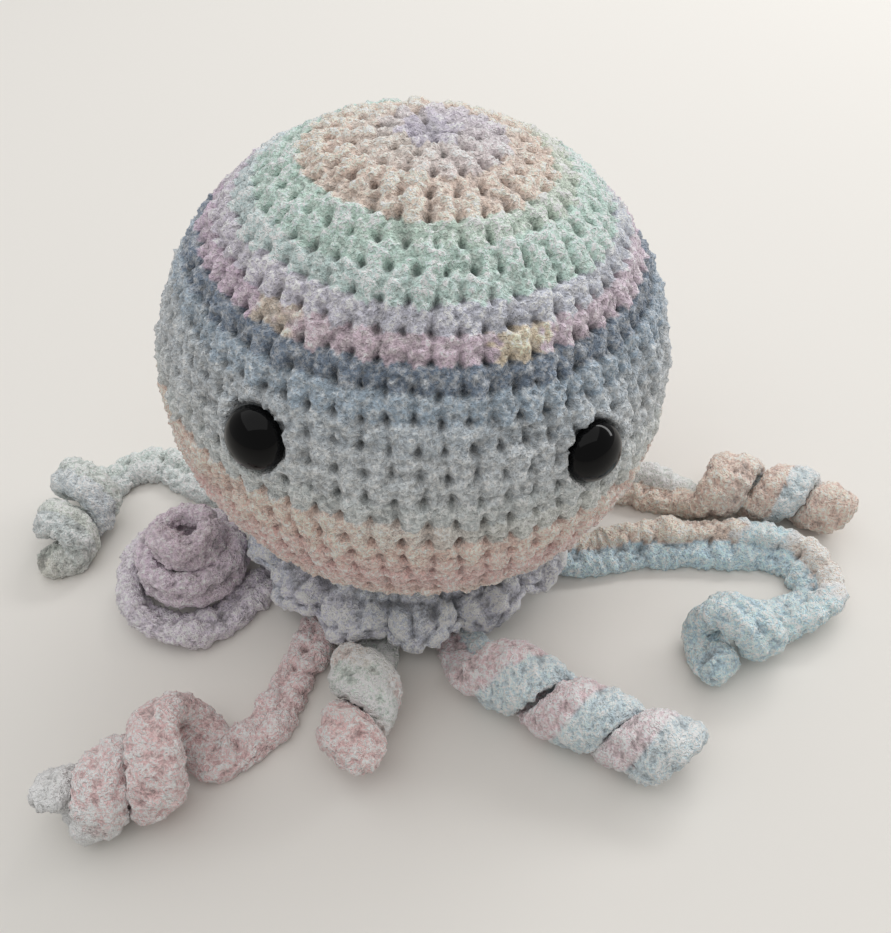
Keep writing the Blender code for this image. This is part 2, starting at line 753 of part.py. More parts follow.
STRAP_COLOURS = {
    "tentacle_back_left": (0.62, 0.68, 0.64),
    "tentacle_left": (0.55, 0.46, 0.55),
    "tentacle_front_left": (0.66, 0.47, 0.49),
    "tentacle_front_centre": (0.62, 0.66, 0.62),
    "tentacle_front_right": (0.52, 0.6, 0.66),
    "tentacle_right": (0.42, 0.55, 0.64),
    "tentacle_back_right": (0.66, 0.56, 0.52),
    "tentacle_back": (0.62, 0.66, 0.64),
}


def main():
    """Builds the jellyfish."""
    clear_scene()
    materials = {
        "skin": make_material("chenille_bell", (0.6, 0.62, 0.64), 0.95),
        "filling": make_material("fibre_filling", (0.85, 0.85, 0.83), 1.0),
        "eye": make_material("black_eye_plastic", (0.01, 0.01, 0.012), 0.08),
        "washer": make_material("clear_washer_plastic", (0.8, 0.8, 0.78), 0.35),
        "ruffle": make_material("chenille_ruffle", (0.56, 0.55, 0.62), 0.95),
    }
    skin = build_bell_skin(materials["skin"])
    filling = build_filling(materials["filling"])
    build_eye("left", EYE_LATITUDE_LEFT, EYE_LONGITUDE_LEFT, skin, filling, materials)
    build_eye("right", EYE_LATITUDE_RIGHT, EYE_LONGITUDE_RIGHT, skin, filling, materials)
    build_ruffle(materials["ruffle"])
    for name, line in tentacle_lines().items():
        build_strap(name, line, make_material(f"chenille_{name}", STRAP_COLOURS[name], 0.95))


main()
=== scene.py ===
"""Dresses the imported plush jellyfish: crocheted chenille bell, ruffle and curled tentacles, domed eyes.

The toy stands on z = 0 with its face towards -Y. Shapes are worked out in millimetres from the point
on the floor below the bell's middle, and written to the meshes in metres in the frame of the CAD.
"""

import logging
import math
from collections.abc import Callable
from dataclasses import dataclass
from enum import Enum

import bpy
import numpy as np
from mathutils import Matrix, Vector, noise


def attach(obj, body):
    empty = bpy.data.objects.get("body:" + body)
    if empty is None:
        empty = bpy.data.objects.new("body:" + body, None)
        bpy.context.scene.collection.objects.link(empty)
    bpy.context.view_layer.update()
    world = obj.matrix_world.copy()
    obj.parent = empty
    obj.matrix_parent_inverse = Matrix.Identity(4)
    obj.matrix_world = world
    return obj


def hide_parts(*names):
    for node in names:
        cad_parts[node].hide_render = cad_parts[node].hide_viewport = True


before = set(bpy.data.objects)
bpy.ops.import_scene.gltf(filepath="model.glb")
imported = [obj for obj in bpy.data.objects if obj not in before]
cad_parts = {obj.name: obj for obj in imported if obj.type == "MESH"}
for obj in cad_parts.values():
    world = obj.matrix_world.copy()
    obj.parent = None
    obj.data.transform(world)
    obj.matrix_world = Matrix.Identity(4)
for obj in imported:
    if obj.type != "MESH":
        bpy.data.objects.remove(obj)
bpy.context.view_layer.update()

LOG = logging.getLogger("plush_jellyfish")

MM = 0.001
BELL_FOOT = (2.84, 6.53)
STRAP_WIDTH = 12.4
STRAP_THICKNESS = 6.4
STRAP_SINK = 1.0
STRAP_REST = STRAP_THICKNESS / 2 - STRAP_SINK
STRAP_TOP = STRAP_REST + STRAP_THICKNESS / 2
CURL_THICKNESS = 8.4
COIL_THICKNESS = 7.2
FIT_GAP = 0.35

# How finely a route is laid, and where a search by halving ends, in millimetres
ROUTE_STEPS = 24
ROUTE_SPACING = 0.5
HALVING_END = 1e-7

# Weights that turn a pair of numbers and a seed into a fixed one from 0 to 1, and the seeds in use
SCATTER_WEIGHTS = (127.1, 311.7, 74.7)
SCATTER_SCALE = 43758.5453
NUDGE_SEED = 1.0
PLUMPNESS_SEED = 2.0
DYE_SEED = 3.0
PIT_SEED = 4.0

Dyes = tuple[tuple[float, str], ...]
Columns = Callable[[np.ndarray], tuple[np.ndarray, np.ndarray | float]]


class Row(Enum):
    """The two rows of stitches of a tentacle."""

    OUT = 0
    BACK = 1


class Side(Enum):
    """The toy's sides as the photograph shows them."""

    LEFT = "left"
    RIGHT = "right"


def between(ends: tuple[float, float], share: np.ndarray | float) -> np.ndarray | float:
    """The value at a share of the way from the first end to the second."""
    return ends[0] + (ends[1] - ends[0]) * share


def smoothstep(value: np.ndarray | float) -> np.ndarray:
    """0 below 0, 1 above 1, with a smooth change between."""
    t = np.clip(value, 0.0, 1.0)
    return t * t * (3.0 - 2.0 * t)


def boxier(wave: np.ndarray, power: np.ndarray | float) -> np.ndarray:
    """A sine or cosine with its sign kept and its rounds filled out by a power under 1."""
    return np.sign(wave) * np.abs(wave) ** power


def humps(angle: np.ndarray, count: float, power: float) -> np.ndarray:
    """A row of equal humps from 0 to 1 round a full turn, the broader the lower the power."""
    return np.abs(np.cos(angle * count / 2)) ** power


def unit_rows(rows: np.ndarray) -> np.ndarray:
    """The rows brought to a length of 1."""
    return rows / np.linalg.norm(rows, axis=1)[:, None]


def path_lengths(rows: np.ndarray) -> np.ndarray:
    """How far along a path of points each point lies."""
    return np.concatenate(([0.0], np.cumsum(np.linalg.norm(np.diff(rows, axis=0), axis=1))))


def resample(wanted: np.ndarray, places: np.ndarray | list[float], rows: np.ndarray) -> np.ndarray:
    """Reads rows of three values at places between those that are known.

    Args:
        wanted: the places to read at.
        places: the places of the known rows, in rising order.
        rows: the known rows.

    Returns:
        One row for each wanted place.
    """
    return np.stack([np.interp(wanted, places, rows[:, k]) for k in range(3)], axis=1)


def globe_angles(unit: np.ndarray) -> tuple[np.ndarray, np.ndarray]:
    """Latitude and longitude, in degrees up and to the right of the front, of unit directions."""
    return np.degrees(np.arcsin(unit[:, 2])), np.degrees(np.arctan2(unit[:, 0], -unit[:, 1]))


def scatter(first: np.ndarray, second: np.ndarray, seed: float) -> np.ndarray:
    """A fixed number from 0 to 1 for each pair, such as a row and a stitch.

    Args:
        first: first numbers.
        second: second numbers.
        seed: changes the whole set.

    Returns:
        One number for each pair.
    """
    mixed = first * SCATTER_WEIGHTS[0] + second * SCATTER_WEIGHTS[1] + seed * SCATTER_WEIGHTS[2]
    return np.mod(np.sin(mixed) * SCATTER_SCALE, 1.0)


def tuft_noise(points: np.ndarray, size: float) -> np.ndarray:
    """Smooth noise from -1 to 1 with features of a size.

    Args:
        points: one row for each vertex, in millimetres.
        size: the size of a feature in millimetres.

    Returns:
        One number for each vertex.
    """
    return np.array([noise.noise(p) for p in (points / size).tolist()])


def linear(code: str) -> tuple[float, float, float, float]:
    """Turns an sRGB colour into the linear one that a shader takes.

    Args:
        code: six hex digits, two each for red, green and blue.

    Returns:
        Linear red, green, blue and an alpha of 1.
    """
    shares = [int(code[i : i + 2], 16) / 255 for i in (0, 2, 4)]
    values = [s / 12.92 if s <= 0.04045 else ((s + 0.055) / 1.055) ** 2.4 for s in shares]
    return values[0], values[1], values[2], 1.0


def add_node(
    tree: bpy.types.NodeTree, kind: str, settings: dict | None = None, inputs: dict | None = None
) -> bpy.types.Node:
    """Adds one node with its settings, its values and the links into it.

    Args:
        tree: the node tree.
        kind: the node's type name.
        settings: properties of the node, by name.
        inputs: for each socket, by name or number, a value or the output socket that feeds it.

    Returns:
        The new node.
    """
    node = tree.nodes.new(kind)
    for name, value in (settings or {}).items():
        setattr(node, name, value)
    for name, value in (inputs or {}).items():
        if isinstance(value, bpy.types.NodeSocket):
            tree.links.new(value, node.inputs[name])
        else:
            node.inputs[name].default_value = value
    return node


def new_material(name: str) -> tuple[bpy.types.Material, bpy.types.NodeTree]:
    """Makes an empty node material.

    Args:
        name: the material's name.

    Returns:
        The material and its node tree.
    """
    material = bpy.data.materials.new(name)
    material.use_nodes = True
    material.node_tree.nodes.clear()
    return material, material.node_tree


def close_material(tree: bpy.types.NodeTree, shader: bpy.types.Node) -> None:
    """Links a shader to the material's output.

    Args:
        tree: the material's node tree.
        shader: the finished shader node.
    """
    add_node(tree, "ShaderNodeOutputMaterial", inputs={"Surface": shader.outputs[0]})


@dataclass(frozen=True)
class ChenilleYarn:
    """Polyester chenille: a velvet pile of 1.5 mm fibres on a thin core, dyed in a run of pastel colours.

    The pile's sheen makes its edges pale, and its tips are made paler at random with a painted highlight.
    Its creases are deep and soft, and darkened further with painted shade. The dyes are given for each
    row as shares of its length and colours.
    """

    name: str
    rows: tuple[Dyes, ...]
    # Pale colour painted on the pile's tips as a highlight
    tip_highlight_colour: str = "F4F1EC"
    tint: str = "F9FAFF"
    richness: float = 1.35
    pile_mm: float = 1.5
    fibre_mm: float = 1.25
    palest: float = 0.92

    def colours(self, share: np.ndarray, row: Row = Row.OUT) -> np.ndarray:
        """Linear colours at shares of a row's length.

        Args:
            share: from 0 at the row's start to 1 at its end.
            row: the row of stitches.

        Returns:
            Red, green and blue for each share.
        """
        places = [place for place, _ in self.rows[row.value]]
        dyes = np.array([linear(code)[:3] for _, code in self.rows[row.value]])
        grey = dyes.mean(axis=1)[:, None]
        dyes = (grey + (dyes - grey) * self.richness) * np.array(linear(self.tint)[:3])
        return resample(share, places, dyes)

    def material(self) -> bpy.types.Material:
        """Builds the yarn: dye run, pile tips made paler with a painted highlight, creases darkened with
        painted shade, and a fibre bump.

        Returns:
            The material.
        """
        material, tree = new_material(self.name)
        place = add_node(tree, "ShaderNodeTexCoord").outputs["Object"]
        dye = add_node(tree, "ShaderNodeAttribute", {"attribute_name": "dye"})
        # How high each vertex lies, read for the painted shade in the creases
        depth = add_node(tree, "ShaderNodeAttribute", {"attribute_name": "painted_shade_height"})
        # One tuft of pile is about 1.5 mm across. Its fibres are finer than the render can show, so
        # they are drawn as coarse curls, the lines where a noise is at its mean
        tufts = add_node(
            tree,
            "ShaderNodeTexNoise",
            inputs={"Vector": place, "Scale": 1 / (self.pile_mm * MM), "Detail": 4.0, "Roughness": 0.7},
        )
        fibres = add_node(
            tree,
            "ShaderNodeTexNoise",
            inputs={"Vector": place, "Scale": 1 / (self.fibre_mm * MM), "Detail": 2.0, "Roughness": 0.6},
        )
        curls = add_node(
            tree, "ShaderNodeMath", {"operation": "PINGPONG"}, {0: fibres.outputs["Fac"], 1: 0.5}
        )
        # Painted highlight: the pile's tips are mixed towards a near-white tip colour where the tuft
        # noise is high
        tips = add_node(
            tree,
            "ShaderNodeMapRange",
            inputs={
                "Value": tufts.outputs["Fac"],
                "From Min": 0.45,
                "From Max": 0.68,
                "To Min": 0.0,
                "To Max": 0.45,
            },
        )
        dye_with_painted_highlight = add_node(
            tree,
            "ShaderNodeMix",
            {"data_type": "RGBA"},
            {"Factor": tips.outputs[0], "A": dye.outputs["Color"], "B": linear(self.tip_highlight_colour)},
        )
        grain = add_node(
            tree,
            "ShaderNodeMapRange",
            inputs={
                "Value": curls.outputs[0],
                "From Min": 0.38,
                "From Max": 0.49,
                "To Min": 0.86,
                "To Max": 1.2,
            },
        )
        # Painted shade: the base colour is darker the lower a vertex lies in a crease, and lighter at the
        # pile's tips
        painted_crease_shade = add_node(
            tree,
            "ShaderNodeMapRange",
            inputs={
                "Value": depth.outputs["Fac"],
                "From Min": 0.0,
                "From Max": 1.0,
                "To Min": 0.46,
                "To Max": 1.36,
            },
        )
        # Fibre grain times the painted crease shade
        shade = add_node(
            tree, "ShaderNodeMath", {"operation": "MULTIPLY"}, {0: grain.outputs[0], 1: painted_crease_shade.outputs[0]}
        )
        colour = add_node(
            tree,
            "ShaderNodeVectorMath",
            {"operation": "SCALE"},
            {0: dye_with_painted_highlight.outputs["Result"], "Scale": shade.outputs[0]},
        )
        capped = add_node(
            tree,
            "ShaderNodeVectorMath",
            {"operation": "MINIMUM"},
            {0: colour.outputs[0], 1: (self.palest, self.palest, self.palest)},
        )
        bump = add_node(
            tree,
            "ShaderNodeBump",
            inputs={"Strength": 1.0, "Distance": 2.2 * MM, "Height": curls.outputs[0]},
        )
        shader = add_node(
            tree,
            "ShaderNodeBsdfPrincipled",
            inputs={
                "Base Color": capped.outputs[0],
                "Roughness": 0.95,
                "IOR": 1.57,
                "Specular IOR Level": 0.15,
                "Sheen Weight": 0.4,
                "Sheen Roughness": 0.5,
                "Normal": bump.outputs[0],
            },
        )
        close_material(tree, shader)
        return material


# The dye run of the bell's yarn, in shares of its 33 rounds: lavender crown, cream, mint, pale lavender,
# mauve with cream flecks, slate, grey, peach and pink down to the foot
BELL_YARN = ChenilleYarn(
    "chenille_yarn_bell",
    (
        (
            (0.0, "D6D1D8"), (0.03, "CFC9D1"), (0.05, "DDD3C9"), (0.065, "D2CCD1"),
            (0.08, "E4D6CB"), (0.115, "E7D4C7"), (0.146, "E4D4C7"), (0.156, "D6DACB"),
            (0.17, "CCDED2"), (0.225, "CBDDD3"), (0.24, "CDD3D6"), (0.256, "CCCDD3"),
            (0.27, "D2C8CE"), (0.2859, "CFC1C7"), (0.286, "DCCFBB"), (0.2868, "DCCFBB"),
            (0.2869, "CEBFC6"), (0.2908, "CEBFC3"), (0.2911, "D8CBBD"), (0.2917, "D8CBBD"),
            (0.292, "CBBBC4"), (0.2985, "C4B7C2"), (0.306, "7B848E"), (0.328, "7A838E"),
            (0.345, "9EA9B1"), (0.365, "ABB4BA"), (0.385, "B7BBBC"), (0.43, "BBBEBE"),
            (0.475, "BFC2BF"), (0.499, "C6C7C1"), (0.502, "DEC9BD"), (0.555, "DFC6BC"),
            (0.57, "DDBFB9"), (0.605, "DCBFB9"), (0.68, "D8C3B8"), (0.75, "CBCFC7"),
            (0.85, "D2C5C1"), (1.0, "C5CACF"),
        ),
    ),
)
RUFFLE_YARN = ChenilleYarn(
    "chenille_yarn_ruffle",
    (
        (
            (0.0, "D6D9DF"), (0.12, "DAD9DF"), (0.25, "DDDFE2"), (0.4, "D3D8E0"), (0.6, "DAD8DF"),
            (0.78, "D1D6DF"), (0.9, "D9D7DE"), (1.0, "D6D9DF"),
        ),
    ),
)
BACK_LEFT_YARN = ChenilleYarn(
    "chenille_yarn_back_left",
    (
        ((0.0, "C6CDCA"), (0.45, "CFD5D1"), (0.7, "CACFD1"), (0.9, "C9CECA"), (1.0, "C3C2B8")),
        ((0.0, "C3CCC7"), (0.5, "CAD1CB"), (1.0, "C7CAC1")),
    ),
)
LEFT_YARN = ChenilleYarn(
    "chenille_yarn_left",
    (
        ((0.0, "CBC5CC"), (0.35, "D1CACF"), (0.6, "CABFC5"), (1.0, "C5B8BE")),
        ((0.0, "C8C2C9"), (0.3, "CEC7CD"), (0.6, "C7BCC2"), (1.0, "C6BABF")),
    ),
)
FRONT_LEFT_YARN = ChenilleYarn(
    "chenille_yarn_front_left",
    (
        (
            (0.0, "D6C0BE"), (0.4, "DFC5C2"), (0.7, "E8CBC8"), (0.82, "EACFCC"),
            (0.86, "EFEEEA"), (1.0, "F3F2EE"),
        ),
        ((0.0, "D8C3C1"), (0.5, "E2C7C4"), (0.83, "E8CDCA"), (0.87, "EEEDE9"), (1.0, "F2F1ED")),
    ),
)
FRONT_CENTRE_YARN = ChenilleYarn(
    "chenille_yarn_front_centre",
    (
        ((0.0, "CFD5CE"), (0.4, "DBE1D8"), (0.66, "DDE4DC"), (0.71, "E7CDCA"), (1.0, "E7C9C5")),
        (
            (0.0, "D0D3CC"), (0.38, "DCE0D7"), (0.5, "E4D5CE"), (0.57, "DCE3DB"),
            (0.66, "E6CDC9"), (1.0, "E6C8C4"),
        ),
    ),
)
FRONT_RIGHT_YARN = ChenilleYarn(
    "chenille_yarn_front_right",
    (
        ((0.0, "C6D0D4"), (0.4, "CBD7DA"), (0.7, "CEDADD"), (1.0, "D4DDDF")),
        ((0.0, "D4C3C4"), (0.3, "DECBCA"), (0.55, "E0CCCC"), (0.8, "E2D0D0"), (1.0, "E3D8D8")),
    ),
)
RIGHT_YARN = ChenilleYarn(
    "chenille_yarn_right",
    (
        (
            (0.0, "BECACD"), (0.1, "C2CCCE"), (0.13, "DCCABD"), (0.425, "DFCEC1"),
            (0.445, "C8DAE0"), (0.49, "C9DBE0"), (0.51, "DFD2C7"), (0.59, "DDD1C8"),
            (0.61, "C8DBE1"), (1.0, "CBDDE4"),
        ),
        ((0.0, "BCCACF"), (0.4, "B8C9D0"), (0.6, "C3D3D9"), (1.0, "CADCE2")),
    ),
)
BACK_RIGHT_YARN = ChenilleYarn(
    "chenille_yarn_back_right",
    (
        (
            (0.0, "D5D8D1"), (0.42, "D5D9D2"), (0.46, "DBC9BE"), (0.6, "DECABE"), (0.63, "CFDBDF"),
            (0.81, "D1DBDC"), (0.85, "DCC8BD"), (1.0, "DAC4B7"),
        ),
        ((0.0, "D8C8BC"), (0.45, "D9C4B7"), (0.7, "D9C4B8"), (1.0, "D8C2B6")),
    ),
)
BACK_YARN = ChenilleYarn(
    "chenille_yarn_back",
    (
        ((0.0, "C8CECA"), (0.5, "CDD4CF"), (1.0, "D6CFCA")),
        ((0.0, "C5CCCA"), (0.6, "C8D0CE"), (1.0, "D2CCC8")),
    ),
)


@dataclass(frozen=True)
class DomedEyePlastic:
    """Injection-moulded black ABS, polished: a deep gloss with a faint ripple and handling marks."""

    name: str = "polished_black_eye_abs"
    colour: str = "070708"
    mark_mm: float = 2.5

    def material(self) -> bpy.types.Material:
        """Builds the plastic: black base, gloss that varies a little, a slight ripple.

        Returns:
            The material.
        """
        material, tree = new_material(self.name)
        place = add_node(tree, "ShaderNodeTexCoord").outputs["Object"]
        marks = add_node(
            tree,
            "ShaderNodeTexNoise",
            inputs={"Vector": place, "Scale": 1 / (self.mark_mm * MM), "Detail": 3.0},
        )
        gloss = add_node(
            tree,
            "ShaderNodeMapRange",
            inputs={
                "Value": marks.outputs["Fac"],
                "From Min": 0.35,
                "From Max": 0.7,
                "To Min": 0.04,
                "To Max": 0.1,
            },
        )
        ripple = add_node(
            tree,
            "ShaderNodeBump",
            inputs={"Strength": 0.05, "Distance": 0.05 * MM, "Height": marks.outputs["Fac"]},
        )
        shader = add_node(
            tree,
            "ShaderNodeBsdfPrincipled",
            inputs={
                "Base Color": linear(self.colour),
                "Roughness": gloss.outputs[0],
                "IOR": 1.54,
                "Specular IOR Level": 0.13,
                "Normal": ripple.outputs[0],
            },
        )
        close_material(tree, shader)
        return material


@dataclass(frozen=True)
class WasherPlastic:
    """Moulded low-density polyethylene: milky, waxy and slightly uneven."""

    name: str = "milky_washer_polyethylene"
    colour: str = "DCDBD3"
    shade_colour: str = "C9C8BE"
    grain_mm: float = 0.8

    def material(self) -> bpy.types.Material:
        """Builds the plastic: two close tones and a waxy grain.

        Returns:
            The material.
        """
        material, tree = new_material(self.name)
        place = add_node(tree, "ShaderNodeTexCoord").outputs["Object"]
        grain = add_node(
            tree,
            "ShaderNodeTexNoise",
            inputs={"Vector": place, "Scale": 1 / (self.grain_mm * MM), "Detail": 3.0},
        )
        tone = add_node(
            tree,
            "ShaderNodeMix",
            {"data_type": "RGBA"},
            {"Factor": grain.outputs["Fac"], "A": linear(self.colour), "B": linear(self.shade_colour)},
        )
        bump = add_node(
            tree,
            "ShaderNodeBump",
            inputs={"Strength": 0.2, "Distance": 0.1 * MM, "Height": grain.outputs["Fac"]},
        )
        shader = add_node(
            tree,
            "ShaderNodeBsdfPrincipled",
            inputs={
                "Base Color": tone.outputs["Result"],
                "Roughness": 0.42,
                "IOR": 1.51,
                "Normal": bump.outputs[0],
            },
        )
        close_material(tree, shader)
        return material


@dataclass(frozen=True)
class FillingFibre:
    """Carded polyester fibre: white, matt and tangled."""

    name: str = "carded_polyester_fibre"
    colour: str = "EFEEE9"
    shade_colour: str = "CFCEC8"
    strand_mm: float = 2.0

    def material(self) -> bpy.types.Material:
        """Builds the fibre: stretched noise for the strands, in two whites.

        Returns:
            The material.
        """
        material, tree = new_material(self.name)
        place = add_node(tree, "ShaderNodeTexCoord").outputs["Object"]
        strands = add_node(
            tree,
            "ShaderNodeTexNoise",
            inputs={
                "Vector": place,
                "Scale": 1 / (self.strand_mm * MM),
                "Detail": 6.0,
                "Distortion": 2.0,
            },
        )
        tone = add_node(
            tree,
            "ShaderNodeMix",
            {"data_type": "RGBA"},
            {"Factor": strands.outputs["Fac"], "A": linear(self.shade_colour), "B": linear(self.colour)},
        )
        bump = add_node(
            tree,
            "ShaderNodeBump",
            inputs={"Strength": 0.7, "Distance": 1.0 * MM, "Height": strands.outputs["Fac"]},
        )
        shader = add_node(
            tree,
            "ShaderNodeBsdfPrincipled",
            inputs={
                "Base Color": tone.outputs["Result"],
                "Roughness": 1.0,
                "IOR": 1.57,
                "Sheen Weight": 0.4,
                "Normal": bump.outputs[0],
            },
        )
        close_material(tree, shader)
        return material


@dataclass(frozen=True)
class FloorPaint:
    """Matt pale paint for the studio floor."""

    name: str = "pale_studio_floor"
    colour: str = "E4E1DC"

    def material(self) -> bpy.types.Material:
        """Builds the paint.

        Returns:
            The material.
        """
        material, tree = new_material(self.name)
        shader = add_node(
            tree,
            "ShaderNodeBsdfPrincipled",
            inputs={"Base Color": linear(self.colour), "Roughness": 0.85, "Specular IOR Level": 0.2},
        )
        close_material(tree, shader)
        return material


def deselect() -> None:
    """Leaves object mode with nothing selected."""
    if bpy.context.object is not None and bpy.context.object.mode != "OBJECT":
        bpy.ops.object.mode_set(mode="OBJECT")
    bpy.ops.object.select_all(action="DESELECT")


def named(name: str) -> bpy.types.Object:
    """Names the primitive that was just added.

    Args:
        name: the piece's name.

    Returns:
        The piece.
    """
    piece = bpy.context.object
    piece.name = name
    piece.data.name = name
    return piece


def read_points(piece: bpy.types.Object) -> np.ndarray:
    """Reads a piece's vertices.

    Args:
        piece: the mesh object.

    Returns:
        One row for each vertex.
    """
    points = np.empty(len(piece.data.vertices) * 3)
    piece.data.vertices.foreach_get("co", points)
    return points.reshape(-1, 3)


def write_points(piece: bpy.types.Object, points: np.ndarray) -> None:
    """Puts vertices, in millimetres from the bell's foot, where they stand in the frame.

    Args:
        piece: the mesh object.
        points: one row for each vertex.
    """
    placed = (points + np.array([*BELL_FOOT, 0.0])) * MM
    piece.data.vertices.foreach_set("co", placed.ravel())
    piece.data.update()


def read_normals(piece: bpy.types.Object) -> np.ndarray:
    """Reads a piece's vertex normals.

    Args:
        piece: the mesh object.

    Returns:
        One row for each vertex.
    """
    normals = np.empty(len(piece.data.vertices) * 3)
    piece.data.vertex_normals.foreach_get("vector", normals)
    return normals.reshape(-1, 3)


def write_values(piece: bpy.types.Object, name: str, values: np.ndarray) -> None:
    """Keeps one number for each vertex as an attribute that a material reads.

    Args:
        piece: the mesh object.
        name: the attribute's name.
        values: one number for each vertex.
    """
    attribute = piece.data.attributes.new(name, "FLOAT", "POINT")
    attribute.data.foreach_set("value", values.astype(np.float32))


def write_colours(piece: bpy.types.Object, name: str, colours: np.ndarray) -> None:
    """Keeps one linear colour for each vertex as an attribute that a material reads.

    Args:
        piece: the mesh object.
        name: the attribute's name.
        colours: red, green and blue for each vertex.
    """
    attribute = piece.data.attributes.new(name, "FLOAT_COLOR", "POINT")
    full = np.concatenate((colours, np.ones((len(colours), 1))), axis=1)
    attribute.data.foreach_set("color", full.astype(np.float32).ravel())


def dye_yarn(
    piece: bpy.types.Object, points: np.ndarray, colours: np.ndarray, height: np.ndarray
) -> None:
    """Puts a crocheted piece's vertices in place with their dyes and how high they lie.

    Args:
        piece: the mesh object.
        points: one row for each vertex, in millimetres from the bell's foot.
        colours: red, green and blue for each vertex.
        height: from 0 in the creases to 1 at the tips of the pile, for the painted shade in the creases.
    """
    write_points(piece, points)
    write_colours(piece, "dye", colours)
    # Kept for the material's painted shade in the creases
    write_values(piece, "painted_shade_height", height)


def face_outwards(piece: bpy.types.Object) -> None:
    """Turns the faces outwards and shades them smooth.

    Args:
        piece: a closed mesh object.
    """
    deselect()
    piece.select_set(True)
    bpy.context.view_layer.objects.active = piece
    bpy.ops.object.mode_set(mode="EDIT")
    bpy.ops.mesh.select_all(action="SELECT")
    bpy.ops.mesh.normals_make_consistent(inside=False)
    bpy.ops.object.mode_set(mode="OBJECT")
    bpy.ops.object.shade_smooth()


def settle(
    piece: bpy.types.Object, finish: bpy.types.Material, nodes: tuple[str, ...]
) -> None:
    """Dresses a finished piece and ties it to the frame.

    Args:
        piece: the mesh object.
        finish: its material.
        nodes: the CAD nodes that it stands for.
    """
    piece.data.materials.clear()
    piece.data.materials.append(finish)
    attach(piece, "root")
    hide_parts(*nodes)
    piece.data.calc_loop_triangles()
    LOG.info("%s: %d triangles", piece.name, len(piece.data.loop_triangles))


@dataclass(frozen=True)
class Stitch:
    """A single crochet stitch: two plump legs that lean together, with a small pit where they meet.

    The splays, the slant, leg_radius and pit_across are shares of the stitch's width. The insets, the
    lifts and the pit's other sizes are in millimetres. uneven is how much the stitches differ.
    """

    row_height: float
    leg_radius: float
    top_splay: float
    bottom_splay: float
    top_inset: float
    bottom_inset: float
    top_lift: float
    bottom_lift: float
    pit_down: float
    pit_depth: float
    pit_radius: float
    pit_across: float = 0.0
    pit_squash: float = 0.8
    slant: float = 0.0
    uneven: float = 0.5
    merge: float = 4.0
    reach: float = 0.4

    def leg(self, across: np.ndarray, down: np.ndarray, width: np.ndarray, hand: float) -> np.ndarray:
        """Height of one leg above the base of the fabric.

        Args:
            across: distance from the stitch's middle.
            down: distance from the top of the row.
            width: the stitch's width.
            hand: -1 for the left leg, 1 for the right.

        Returns:
            Height for each vertex, 0 where the leg doesn't reach.
        """
        start_x = (hand * self.top_splay + self.slant) * width
        end_x = (hand * self.bottom_splay - self.slant) * width
        start_y = self.top_inset
        end_y = self.row_height - self.bottom_inset
        run_x = end_x - start_x
        run_y = end_y - start_y
        share = ((across - start_x) * run_x + (down - start_y) * run_y) / (run_x**2 + run_y**2)
        share = np.clip(share, 0.0, 1.0)
        away = np.hypot(across - start_x - share * run_x, down - start_y - share * run_y)
        radius = self.leg_radius * width
        round_top = np.sqrt(np.clip(1.0 - (away / radius) ** 2, 0.0, 1.0))
        return round_top * (radius + between((self.top_lift, self.bottom_lift), share))

    def relief(
        self, row: np.ndarray, row_length: np.ndarray | float, columns: Columns
    ) -> tuple[np.ndarray, np.ndarray]:
        """Height of crocheted fabric, and the row of the stitch that each vertex lies on.

        Args:
            row: how many rows each vertex lies from the first.
            row_length: the length of a whole row at each vertex.
            columns: for whole row numbers, gives each vertex's place along the row, in stitches, and the
                number of stitches in the row.

        Returns:
            Height and row number for each vertex.
        """
        total = np.zeros_like(row)
        pits = np.zeros_like(row)
        best = np.full_like(row, self.reach)
        best_row = np.floor(row)
        for row_step in (-1, 0, 1):
            number = np.floor(row) + row_step
            column, count = columns(number)
            width = row_length / count
            down = (row - number) * self.row_height
            for column_step in (-1, 0, 1):
                index = np.floor(column) + column_step
                own = np.mod(index, count)
                nudge = (scatter(number, own, NUDGE_SEED) - 0.5) * self.uneven
                across = (column - index - 0.5) * width - nudge
                height = np.zeros_like(row)
                for hand in (-1.0, 1.0):
                    height = np.maximum(height, self.leg(across, down - nudge, width, hand))
                height *= 1.0 + (scatter(number, own, PLUMPNESS_SEED) - 0.5) * self.uneven
                total += height**self.merge
                beside = across - self.pit_across * width
                below = (down - nudge - self.pit_down) * self.pit_squash
                away = np.hypot(beside, below) / self.pit_radius
                depth = 1.0 + (scatter(number, own, PIT_SEED) - 0.5) * self.uneven
                pits = np.maximum(pits, np.exp(-(away**2)) * depth)
                wins = height > best
                best = np.where(wins, height, best)
                best_row = np.where(wins, number, best_row)
        return total ** (1 / self.merge) - pits * self.pit_depth, best_row


ROUND_STITCH = Stitch(
    row_height=6.3,
    leg_radius=0.425,
    top_splay=0.2,
    bottom_splay=0.05,
    top_inset=0.5,
    bottom_inset=1.2,
    top_lift=0.2,
    bottom_lift=-0.3,
    pit_down=5.4,
    pit_depth=1.9,
    pit_radius=0.85,
    pit_across=0.5,
)
ROPE_STITCH = Stitch(
    row_height=15.2,
    leg_radius=0.4,
    top_splay=0.22,
    bottom_splay=0.16,
    top_inset=2.2,
    bottom_inset=1.6,
    top_lift=0.0,
    bottom_lift=-0.2,
    pit_down=13.9,
    pit_depth=1.0,
    pit_radius=1.0,
    slant=0.24,
)
FRILL_STITCH = Stitch(
    row_height=7.4,
    leg_radius=0.44,
    top_splay=0.08,
    bottom_splay=0.04,
    top_inset=2.4,
    bottom_inset=3.0,
    top_lift=0.3,
    bottom_lift=0.1,
    pit_down=7.4,
    pit_depth=1.2,
    pit_radius=1.0,
    pit_across=0.5,
)


